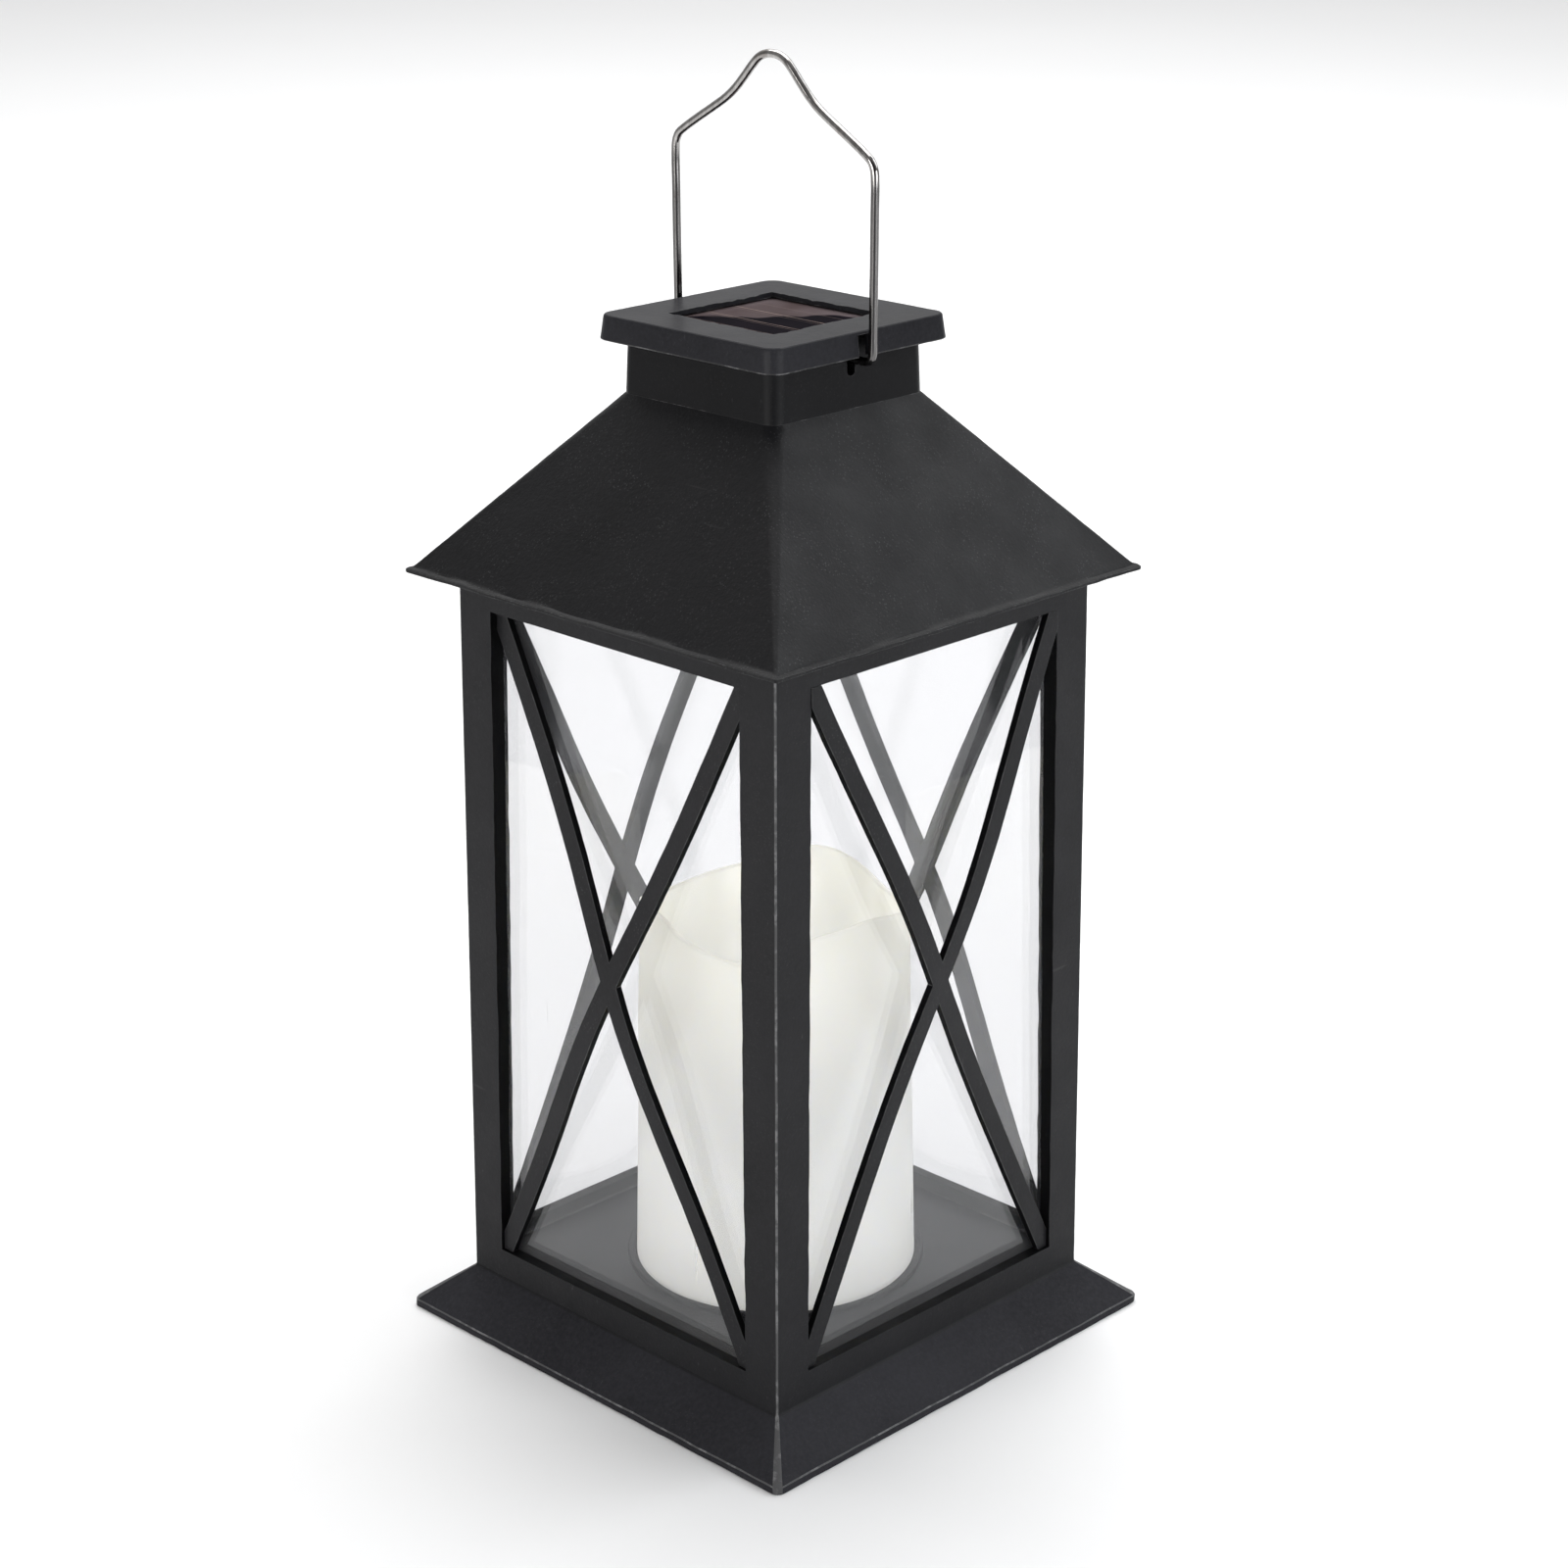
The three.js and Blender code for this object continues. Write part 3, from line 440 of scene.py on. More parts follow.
def moulded(name, base, spec=0.24, rough=(0.42, 0.56), grain=0.00005, specks=0.5, tint=(1.0, 1.0, 1.15), scratches=0.35):
    """Moulded black plastic: fine-grained, slightly cloudy, with pale specks and rubbed hairline scratches."""
    M = Mat(name)
    cloud = M.noise(22.0, 3.0, 0.55)
    fine = M.noise(900.0, 3.0, 0.6)
    dark = tuple(base * 0.80 * t for t in tint)
    lite = tuple(base * 1.22 * t for t in tint)
    col = M.mix(M.remap(cloud, 0.32, 0.68, 0.0, 1.0), dark, lite)
    col = M.mix(M.remap(fine, 0.35, 0.75, 0.0, 0.35), col, tuple(base * 1.9 * t for t in tint))
    if specks:
        cells = M.voronoi(1150.0)
        gate = M.noise(95.0, 1.0, 0.5)
        dots = M.math("MULTIPLY", M.remap(cells, 0.16, 0.26, 1.0, 0.0), M.remap(gate, 0.35, 0.70, 0.0, 1.0))
        col = M.mix(M.math("MULTIPLY", dots, specks * 0.5), col, (0.11, 0.11, 0.115))
    if scratches:
        a = M.mapped((34.0, 700.0, 260.0), rot=(0.3, 0.7, 0.5))
        b = M.mapped((600.0, 38.0, 300.0), rot=(0.8, 0.2, 1.1))
        lines = M.math("MAXIMUM", M.remap(M.noise(1.0, 2.0, 0.5, a), 0.735, 0.775, 0.0, 1.0), M.remap(M.noise(1.0, 2.0, 0.5, b), 0.735, 0.775, 0.0, 1.0))
        col = M.mix(M.math("MULTIPLY", lines, scratches * 0.3), col, (0.13, 0.13, 0.135))
    r = M.remap(M.noise(60.0, 4.0, 0.6), 0.3, 0.7, rough[0], rough[1])
    height = M.math("ADD", M.math("MULTIPLY", M.noise(1300.0, 2.0, 0.6), 1.0), M.math("MULTIPLY", M.noise(420.0, 2.0, 0.5), 0.7))
    nrm = M.bump(height, grain, 0.8)
    return M.done(M.principled(col, r, nrm, Specular_IOR_Level=spec))


def worn_and_highlit(name, base, spec=0.3, wear=0.55, bright=0.22, size=260.0):
    """The same plastic where an edge has been rubbed, with broken light flecks along it; the paler tone along the whole
    edge is a painted highlight.
    """
    M = Mat(name)
    a = M.noise(size, 4.0, 0.65)
    b = M.noise(60.0, 2.0, 0.5)
    flecks = M.remap(M.math("ADD", M.math("MULTIPLY", a, 0.65), M.math("MULTIPLY", b, 0.35)), 0.50, 0.60, 0.0, wear)
    col = M.mix(flecks, (base * 1.5, base * 1.5, base * 1.55), (bright, bright, bright * 1.02))
    nrm = M.bump(M.noise(900.0, 2.0, 0.6), 0.00008, 0.8)
    return M.done(M.principled(col, M.remap(a, 0.3, 0.7, 0.38, 0.6), nrm, Specular_IOR_Level=spec))


def simple(name, color, rough, dark=0.85, scale=300.0, metallic=0.0, grain=0.00003, spec=0.5, coat=0.0):
    M = Mat(name)
    n = M.noise(scale, 3.0, 0.55)
    m = M.noise(40.0, 2.0, 0.5)
    col = M.mix(M.remap(n, 0.3, 0.7, 0.0, 1.0), tuple(c * dark for c in color), color)
    r = M.remap(m, 0.3, 0.7, max(rough - 0.06, 0.02), rough + 0.08)
    nrm = M.bump(M.noise(scale * 2.5, 2.0, 0.5), grain, 0.7)
    return M.done(M.principled(col, r, nrm, Metallic=metallic, Specular_IOR_Level=spec, Coat_Weight=coat))


MAT = {}
MAT["roof"] = moulded("roof_plastic", 0.0055, spec=0.17, rough=(0.44, 0.58), grain=0.00012, specks=0.5, scratches=0.2)
MAT["body"] = moulded("wall_plastic", 0.0082, spec=0.15, rough=(0.40, 0.52), grain=0.00004, specks=0.2, scratches=0.35)
# painted light: the skirt is the wall plastic made paler and less glossy to stand in for the light it catches
MAT["skirt"] = moulded("skirt_painted_light", 0.0200, spec=0.04, rough=(0.40, 0.52), grain=0.00004, specks=0.2, scratches=0.35)
# smoother finish, and a darker tone that is painted shade under the cap
MAT["neck"] = moulded("neck_smoother_painted_shade", 0.0045, spec=0.09, rough=(0.34, 0.46), grain=0.00003, specks=0.15, scratches=0.25)
MAT["cap"] = moulded("cap_plastic", 0.0165, spec=0.055, rough=(0.28, 0.36), grain=0.00004, specks=0.2, scratches=0.25)
MAT["brace"] = moulded("brace_plastic", 0.0075, spec=0.17, rough=(0.42, 0.52), grain=0.00004, specks=0.35, scratches=0.3)
MAT["smooth"] = moulded("base_plastic", 0.0130, spec=0.14, rough=(0.30, 0.42), grain=0.00002, specks=0.25, scratches=0.6)
# bevelled edges: rubbed wear flecks, and a painted highlight in their paler tone
MAT["roof_edge"] = worn_and_highlit("roof_edge_wear_and_highlight", 0.011, wear=0.6, bright=0.20)
MAT["edge"] = worn_and_highlit("edge_wear_and_highlight", 0.014, wear=0.55, bright=0.20)
MAT["edge_soft"] = worn_and_highlit("edge_wear_soft_and_highlight", 0.013, wear=0.35, bright=0.13)
MAT["post_edge"] = worn_and_highlit("post_edge_wear_and_highlight", 0.036, wear=0.55, bright=0.20, size=320.0)
# painted shade: a near-black copy of the wall plastic for the window reveals and brace sides, which stand in shade
MAT["reveal"] = moulded("reveal_painted_shade", 0.0026, spec=0.05, rough=(0.45, 0.6), grain=0.00003, specks=0.1, scratches=0.1)
MAT["inside"] = moulded("inside_plastic", 0.0080, spec=0.20, rough=(0.45, 0.6), specks=0.2, scratches=0.0)


def pane_material():
    M = Mat("clear_pane")
    lw = M.node("ShaderNodeLayerWeight", Blend=0.5)
    f5 = M.math("POWER", lw.outputs["Facing"], 4.6)
    fac = M.math("ADD", M.math("MULTIPLY", f5, 0.90), 0.045)
    clear = M.node("ShaderNodeBsdfTransparent", Color=(0.920, 0.920, 0.924, 1.0))
    gloss = M.node("ShaderNodeBsdfGlossy", Color=(0.98, 0.985, 1.0, 1.0), Roughness=0.035)
    wav = M.bump(M.noise(18.0, 2.0, 0.5), 0.00025, 1.0)
    M.link(wav, gloss.inputs["Normal"])
    mx = M.t.nodes.new("ShaderNodeMixShader")
    M.link(fac, mx.inputs[0])
    M.link(clear.outputs[0], mx.inputs[1])
    M.link(gloss.outputs[0], mx.inputs[2])
    # faint haze with a few fine hairline scratches and dust
    a = M.mapped((260.0, 260.0, 14.0), rot=(0.12, 0.1, 0.2))
    hair = M.remap(M.noise(1.0, 2.0, 0.5, a), 0.765, 0.80, 0.0, 0.35)
    haze = M.remap(M.noise(9.0, 3.0, 0.5), 0.35, 0.75, 0.004, 0.022)
    dust = M.node("ShaderNodeBsdfDiffuse", Color=(0.9, 0.91, 0.93, 1.0))
    mx2 = M.t.nodes.new("ShaderNodeMixShader")
    M.link(M.math("ADD", hair, haze), mx2.inputs[0])
    M.link(mx.outputs[0], mx2.inputs[1])
    M.link(dust.outputs[0], mx2.inputs[2])
    return M.done(mx2.outputs[0])


def candle_material():
    M = Mat("candle_plastic")
    z = separate(M)[2]
    up = M.remap(z, 0.070, 0.118, 0.0, 1.0)
    mott = M.noise(38.0, 4.0, 0.55)
    # the streaks in the upper colour are painted light and shade of soft folds in the hollow's wall
    fold_shade_streak = M.noise(1.0, 3.0, 0.5, M.mapped((90.0, 90.0, 9.0)))
    low = M.mix(M.remap(mott, 0.3, 0.7, 0.0, 1.0), (0.875, 0.88, 0.872), (0.915, 0.918, 0.908))
    top = M.mix(M.remap(fold_shade_streak, 0.3, 0.7, 0.0, 1.0), (0.885, 0.88, 0.815), (0.935, 0.93, 0.885))
    col = M.mix(up, low, top)
    nrm = M.bump(M.noise(240.0, 4.0, 0.6), 0.00010, 0.6, M.bump(M.noise(60.0, 3.0, 0.5), 0.0003, 0.6))
    r = M.remap(mott, 0.3, 0.7, 0.36, 0.50)
    s = M.principled(col, r, nrm, Subsurface_Weight=0.5, Subsurface_Scale=0.004, Specular_IOR_Level=0.4)
    # painted glow: emission stands in for the light the shell gathers, most in the hollow, by the rim and at the foot,
    # with a painted highlight on the rim top and painted light on the folds in the hollow
    face = M.t.nodes.new("ShaderNodeVectorMath")
    face.operation = "DOT_PRODUCT"
    M.link(M.co.outputs["Object"], face.inputs[0])
    M.link(M.co.outputs["Normal"], face.inputs[1])
    hollow = M.math("MULTIPLY", M.remap(face.outputs["Value"], -0.012, -0.002, 1.0, 0.0), M.remap(z, 0.060, 0.090, 0.0, 1.0))
    painted_glow = M.math("ADD", M.remap(z, 0.030, 0.070, 0.12, 0.0), M.remap(z, 0.085, 0.112, 0.0, 0.12))
    up_n = M.t.nodes.new("ShaderNodeSeparateXYZ")
    M.link(M.co.outputs["Normal"], up_n.inputs[0])
    # painted highlight along the rim top
    lip = M.math("MULTIPLY", M.remap(up_n.outputs[2], 0.35, 0.85, 0.0, 0.14), M.remap(z, 0.105, 0.110, 0.0, 1.0))
    fold_painted_light = M.math("MULTIPLY", hollow, M.remap(M.noise(1.0, 2.0, 0.5, M.mapped((42.0, 42.0, 16.0), rot=(0.35, 0.2, 0.0))), 0.40, 0.60, 0.0, 0.26))
    painted_glow = M.math("ADD", M.math("ADD", painted_glow, 0.185), M.math("ADD", lip, fold_painted_light))
    M.link(painted_glow, s.node.inputs["Emission Strength"])
    s.node.inputs["Emission Color"].default_value = (1.0, 0.985, 0.93, 1.0)
    s.node.inputs["Subsurface Radius"].default_value = (1.0, 0.85, 0.55)
    through = M.node("ShaderNodeBsdfTranslucent")
    M.link(col, through.inputs["Color"])
    mx = M.t.nodes.new("ShaderNodeMixShader")
    mx.inputs[0].default_value = 0.38
    M.link(s, mx.inputs[1])
    M.link(through.outputs[0], mx.inputs[2])
    return M.done(mx.outputs[0])


def cell_material():
    M = Mat("solar_cell_face")
    xyz = separate(M)
    d = M.math("SUBTRACT", xyz[0], xyz[1])                     # towards the front corner
    wave = M.math("MULTIPLY", M.math("SUBTRACT", M.noise(75.0, 2.0, 0.5), 0.5), 0.016)
    t = M.remap(M.math("ADD", d, wave), -0.0062, -0.0038, 0.0, 1.0)
    brown = M.mix(M.remap(M.noise(45.0, 3.0, 0.5), 0.3, 0.7, 0.0, 1.0), (0.070, 0.052, 0.052), (0.125, 0.102, 0.108))
    navy = M.mix(M.remap(M.noise(45.0, 3.0, 0.5), 0.3, 0.7, 0.0, 1.0), (0.0045, 0.004, 0.006), (0.009, 0.007, 0.010))
    col = M.mix(t, brown, navy)
    # print lines along x, some strong, some faint
    y = xyz[1]
    def line(y0, half, k):
        off = M.math("ABSOLUTE", M.math("SUBTRACT", y, y0))
        return M.math("MULTIPLY", M.remap(off, half * 0.5, half, 1.0, 0.0), k)
    lines = line(0.0052, 0.00022, 0.9)
    for y0, h, k in ((-0.0042, 0.0002, 0.8), (-0.0055, 0.00016, 0.35), (0.0118, 0.00016, 0.3), (-0.0125, 0.00018, 0.4), (0.0036, 0.00014, 0.3)):
        lines = M.math("MAXIMUM", lines, line(y0, h, k))
    lines = M.math("MULTIPLY", lines, M.remap(M.noise(160.0, 2.0, 0.5), 0.3, 0.5, 0.5, 1.0))
    col = M.mix(lines, col, (0.26, 0.20, 0.18))
    nrm = M.bump(M.noise(90.0, 2.0, 0.5), 0.00006, 0.5)
    base = M.principled(col, M.remap(M.noise(30.0, 2.0, 0.5), 0.3, 0.7, 0.10, 0.2), nrm, Specular_IOR_Level=0.0)
    gloss = M.node("ShaderNodeBsdfGlossy", Color=(1.0, 1.0, 1.0, 1.0), Roughness=0.10)
    M.link(nrm, gloss.inputs["Normal"])
    mx = M.t.nodes.new("ShaderNodeMixShader")
    mx.inputs[0].default_value = 0.012
    M.link(base, mx.inputs[1])
    M.link(gloss.outputs[0], mx.inputs[2])
    return M.done(mx.outputs[0])


def wire_material():
    M = Mat("bail_plate")
    st = M.noise(1.0, 3.0, 0.6, M.mapped((900.0, 900.0, 55.0)))
    spot = M.noise(150.0, 3.0, 0.6)
    col = M.mix(M.remap(st, 0.3, 0.7, 0.0, 1.0), (0.30, 0.288, 0.28), (0.48, 0.465, 0.455))
    col = M.mix(M.remap(spot, 0.56, 0.68, 0.0, 0.45), col, (0.24, 0.21, 0.19))
    # painted reflection: darker down the middle and at the very rim, as bright plating on a thin round wire looks
    turned_away = M.node("ShaderNodeLayerWeight", Blend=0.5).outputs["Facing"]
    col = M.mix(M.remap(turned_away, 0.02, 0.10, 0.88, 0.0), col, (0.02, 0.02, 0.02))
    col = M.mix(M.remap(turned_away, 0.62, 0.85, 0.0, 0.7), col, (0.05, 0.05, 0.05))
    # painted reflection: the upright legs are darkened, since they mirror the dark roof and cap and look much darker
    # than the arms
    leg_painted_reflection = M.remap(separate(M)[2], 0.3065, 0.3115, 0.68, 0.0)
    col = M.mix(leg_painted_reflection, col, (0.035, 0.034, 0.036))
    r = M.remap(st, 0.3, 0.7, 0.09, 0.16)
    return M.done(M.principled(col, r, M.bump(st, 0.00003, 0.7), Metallic=1.0))


MAT["pane"] = pane_material()
MAT["candle"] = candle_material()
MAT["cell"] = cell_material()
MAT["wire"] = wire_material()
MAT["seal"] = simple("seal_foam", (0.015, 0.015, 0.015), 0.85, scale=1500.0, grain=0.0002, spec=0.2)
MAT["screw"] = simple("screw_zinc", (0.62, 0.62, 0.63), 0.3, scale=500.0, metallic=1.0)
MAT["nickel"] = simple("contact_nickel", (0.70, 0.69, 0.67), 0.25, scale=400.0, metallic=1.0)
MAT["board"] = simple("board_mask", (0.020, 0.16, 0.06), 0.35, scale=220.0, coat=0.3)
MAT["epoxy"] = simple("part_epoxy", (0.012, 0.012, 0.013), 0.5, scale=700.0)
MAT["coil"] = simple("choke_lacquer", (0.05, 0.21, 0.08), 0.3, scale=500.0, coat=0.4)
MAT["lens"] = simple("lamp_resin", (0.86, 0.80, 0.58), 0.15, scale=200.0, coat=0.5)
MAT["red"] = simple("lead_red", (0.42, 0.02, 0.02), 0.35, scale=300.0)
MAT["ink"] = simple("lead_black", (0.012, 0.012, 0.013), 0.35, scale=300.0)
MAT["knob"] = simple("knob_plastic", (0.70, 0.70, 0.67), 0.4, scale=300.0)


def battery_material():
    M = Mat("battery_sleeve")
    x = separate(M)[0]
    band = M.remap(x, 0.0150, 0.0153, 0.0, 1.0)
    n = M.remap(M.noise(300.0, 3.0, 0.5), 0.3, 0.7, 0.0, 1.0)
    green = M.mix(n, (0.03, 0.20, 0.06), (0.05, 0.27, 0.09))
    white = M.mix(n, (0.6, 0.6, 0.58), (0.7, 0.7, 0.68))
    return M.done(M.principled(M.mix(band, green, white), 0.25, M.bump(M.noise(800.0), 0.00002, 0.6), Coat_Weight=0.3))


MAT["battery"] = battery_material()


def wear_mats(ob, *keys):
    ob.data.materials.clear()
    for k in keys:
        ob.data.materials.append(MAT[k])


def stands_for(ob, body, slot, *nodes):
    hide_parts(*nodes)
    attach(ob, body)


# ------------------------------------------------------------------ sizes, as in the frame (mm)
BODY_BOT, BODY_TOP, SKIRT_Z, TOP_Z = 57.5, 56.1, 12.25, 207.1
TAPER = (BODY_BOT - BODY_TOP) / (TOP_Z - SKIRT_Z)


def body_half(z):
    return BODY_BOT - TAPER * (z - SKIRT_Z)


def inner_half(z):
    return 54.35 - (54.35 - 51.75) * (z - 14.7) / (207.1 - 14.7)


def win_half(z):
    return 46.4 - (46.4 - 44.2) * (z - 20.5) / (199.0 - 20.5)


# bow of the braces: height of the belly, how proud it stands, inset of the top and bottom ends
BOW_FRONT, BOW_SIDE = (98.0, 3.0, 2.1, 1.0), (136.0, 3.1, 0.1, 1.0)


def brace_inset(z, bow):
    mid, proud, top, bottom = bow
    end, reach = (top, 40.0) if z > mid else (bottom, 38.0)
    return end - (end + proud) * math.exp(-(((z - mid) / reach) ** 2))


QUADS = ((1, 1), (-1, 1), (-1, -1), (1, -1))


def corner_block(name, sx, sy, a, b, z0, z1):
    return block(name, min(sx * a, sx * b), max(sx * a, sx * b), min(sy * a, sy * b), max(sy * a, sy * b), z0, z1)


def turn(ob, k):
    ob.data.transform(Matrix.Rotation(math.radians(90 * k), 4, "Z"))


# ------------------------------------------------------------------ body
def build_body():
    ob = loft("body", [
        sq_ring(69.7, 2.3, 0.0), sq_ring(69.93, 2.45, 0.12), sq_ring(70.0, 2.5, 0.4), sq_ring(70.0, 2.5, 1.9), sq_ring(69.75, 2.4, 2.3),
        sq_ring(57.9, 0.9, 12.05), sq_ring(57.5, 0.6, 12.55), sq_ring(56.1, 0.6, 207.1)])
    below = loft("c", [sq_ring(67.6, 1.2, -1, 3), sq_ring(67.6, 1.2, 1.4, 3), sq_ring(55.6, 1.2, 10.9, 3), sq_ring(52.7, 0.8, 13.2, 3)])
    ledge = loft("c", [sq_ring(49.7, 0.8, 12.7, 3), sq_ring(49.7, 0.8, 15.2, 3)])
    above = loft("c", [sq_ring(inner_half(14.7), 0.8, 14.7, 3), sq_ring(inner_half(208.1), 0.8, 208.1, 3)])
    boolean(ob, [below, ledge, above])
    adds = []
    cuts = []
    for sx, sy in QUADS:
        adds.append(corner_block("a", sx, sy, 41, 55.3, 13.2, 14.7))
        adds.append(rod("a", sx * 46, sy * 46, 4.4, 13.7, 3.5))
        adds.append(corner_block("a", sx, sy, 37.5, 52.2, 203.2, TOP_Z))
        cuts.append(rod("c", sx * 46, sy * 46, 3.4, 12.6, 1.5, 24))
        cuts.append(rod("c", sx * 43, sy * 43, 202, 208, 1.9, 24))
    boolean(ob, adds, "UNION")
    cuts.append(block("c", -51.6, -46.9, 46.9, 51.6, 202.5, 208))
    cuts.append(block("c", -52.6, -48.3, 48.3, 52.6, 12.6, 15.3))
    inner = 51.75 - 1.5
    for k in range(4):
        w = new_object("c", [
            (-46.4, -inner, 20.5), (46.4, -inner, 20.5), (46.4, -70, 20.5), (-46.4, -70, 20.5),
            (-44.2, -inner, 199), (44.2, -inner, 199), (44.2, -70, 199), (-44.2, -70, 199)],
            [(0, 1, 2, 3), (4, 7, 6, 5), (0, 4, 5, 1), (1, 5, 6, 2), (2, 6, 7, 3), (3, 7, 4, 0)])
        turn(w, k)
        cuts.append(w)
    boolean(ob, cuts)
    tidy(ob)
    wear_mats(ob, "body", "edge_soft")
    bevel(ob, 0.40, 2, 40, 1)
    for key in ("skirt", "reveal", "post_edge"):
        ob.data.materials.append(MAT[key])
    for f in ob.data.polygons:
        c = f.center / MM
        axis = 0 if abs(c.x) > abs(c.y) else 1
        side, other = max(abs(c.x), abs(c.y)), min(abs(c.x), abs(c.y))
        # painted light: faces of the skirt take the paler skirt copy of the plastic
        if f.material_index == 0 and c.z < 12.2:
            f.material_index = 2
        # painted shade: the window reveals take the near-black reveal copy of the plastic
        elif f.material_index == 0 and 20.3 < c.z < 199.2 and side > 50.2 and abs(f.normal[axis]) < 0.3 and other < 48:
            f.material_index = 3
        # painted highlight with rubbed wear: the post corners and the skirt's upper lip take the pale post_edge
        # material
        lean = min(abs(f.normal.x), abs(f.normal.y))
        if (c.z > 13 and other > 55 and lean > 0.2) or (0.5 < c.z < 13 and other > 54 and lean > 0.2) or (1.9 < c.z < 2.36 and side > 69.5):
            f.material_index = 4
    step = 3.0
    zs = [z for z in np.arange(15.0, 205.0, step)]
    xs = [x for x in np.arange(-69.0, 69.5, step)]
    slice_up(ob, xs, xs, zs)
    def near_window(p):
        """Stronger unevenness at the moulded edges of the windows and at the foot of the skirt."""
        w = 0.35
        if p.z < 2.5:
            w = 1.6
        side = max(abs(p.x), abs(p.y))
        other = min(abs(p.x), abs(p.y))
        if p.z > 19 and p.z < 201 and side > 50 and abs(other - win_half(p.z)) < 1.0:
            w = 1.7
        return w
    wobble(ob, [(0.10, 9.0), (0.07, 2.6)], 3.1, "body_frame", near_window)
    for v in ob.data.vertices:
        v.co.z = max(v.co.z, 0.0)
    shade(ob)
    stands_for(ob, "lantern", "body_plastic", "body_frame")
    return ob


# ------------------------------------------------------------------ braces
def build_brace(k, side):
    W = 5.2
    bow = BOW_SIDE if k % 2 else BOW_FRONT
    z0, z1 = 20.5, 199.0
    h0, h1 = win_half(z0), win_half(z1)
    a = (Vector((-h1 + 0.4, z1)), Vector((h0 - 0.4, z0)))
    b = (Vector((h1 - 0.4, z1)), Vector((-h0 + 0.4, z0)))

    def sides(p, q):
        d = (q - p).normalized()
        n = Vector((-d.y, d.x)) * W / 2
        far = d * 14
        return (p - far + n, q + far + n), (p - far - n, q + far - n)

    def cross(l, m):
        p, r, q, s = l[0], l[1] - l[0], m[0], m[1] - m[0]
        t = ((q - p).x * s.y - (q - p).y * s.x) / (r.x * s.y - r.y * s.x)
        return p + r * t
    a1, a2 = sides(*a)
    b1, b2 = sides(*b)
    # a middle diamond and four arms, sharing the inner corners
    mid = [cross(a1, b2), cross(a1, b1), cross(a2, b1), cross(a2, b2)]
    mid.sort(key=lambda p: math.atan2(p.y - 111.9, p.x))
    ends = [a1[0], a2[0], b1[0], b2[0], a1[1], a2[1], b1[1], b2[1]]
    bm = bmesh.new()
    mv = [bm.verts.new((p.x, 0, p.y)) for p in mid]
    bm.faces.new(mv)
    for i in range(4):
        p, q = mid[i], mid[(i + 1) % 4]
        towards = ((p + q) / 2 - Vector((0, 111.9))).normalized()
        near = sorted(ends, key=lambda e: -(e - Vector((0, 111.9))).normalized().dot(towards))[:2]
        near.sort(key=lambda e: (e - p).length - (e - q).length)
        ep, eq = near
        # the corner of the end that lies on p's side of the arm
        side_p = (eq - ep).dot(q - p)
        if side_p < 0:
            ep, eq = eq, ep
        bm.faces.new([mv[i], bm.verts.new((ep.x, 0, ep.y)), bm.verts.new((eq.x, 0, eq.y)), mv[(i + 1) % 4]])

    def trim(co, no):
        bmesh.ops.bisect_plane(bm, geom=bm.verts[:] + bm.edges[:] + bm.faces[:], dist=1e-5, plane_co=co, plane_no=no, clear_outer=True)
    trim((0, 0, z1), (0, 0, 1))
    trim((0, 0, z0), (0, 0, -1))
    slope = (h1 - h0) / (z1 - z0)
    trim((h0, 0, z0), Vector((1, 0, -slope)).normalized())
    trim((-h0, 0, z0), Vector((-1, 0, -slope)).normalized())
    for z in np.arange(z0 + 2.0, z1 - 1.0, 3.0):
        bmesh.ops.bisect_plane(bm, geom=bm.verts[:] + bm.edges[:] + bm.faces[:], dist=1e-5, plane_co=(0, 0, z), plane_no=(0, 0, 1))
    bmesh.ops.recalc_face_normals(bm, faces=bm.faces)
    front = bm.faces[:]
    res = bmesh.ops.extrude_face_region(bm, geom=front)
    back = [v for v in res["geom"] if isinstance(v, bmesh.types.BMVert)]
    backset = set(back)
    for v in bm.verts:
        y = -(body_half(v.co.z) - brace_inset(v.co.z, bow))
        v.co.y = y + (2.0 if v in backset else 0.0)
    bmesh.ops.recalc_face_normals(bm, faces=bm.faces)
    me = bpy.data.meshes.new("brace_" + side)
    bm.to_mesh(me)
    bm.free()
    ob = bpy.data.objects.new("brace_" + side, me)
    scene.collection.objects.link(ob)
    ob.data.transform(Matrix.Scale(MM, 4))
    fix_normals(ob)
    wear_mats(ob, "brace", "edge_soft")
    bevel(ob, 0.16, 2, 40, 1)
    # painted shade: the brace's side faces take the near-black reveal copy of the plastic
    ob.data.materials.append(MAT["reveal"])
    for f in ob.data.polygons:
        if f.material_index == 0 and abs(f.normal.y) < 0.5:
            f.material_index = 2
    wobble(ob, [(0.07, 7.0), (0.04, 2.2)], 5.0 + k)
    turn(ob, k)
    shade(ob)
    stands_for(ob, "lantern", "body_plastic", "x_brace_" + side)
    return ob


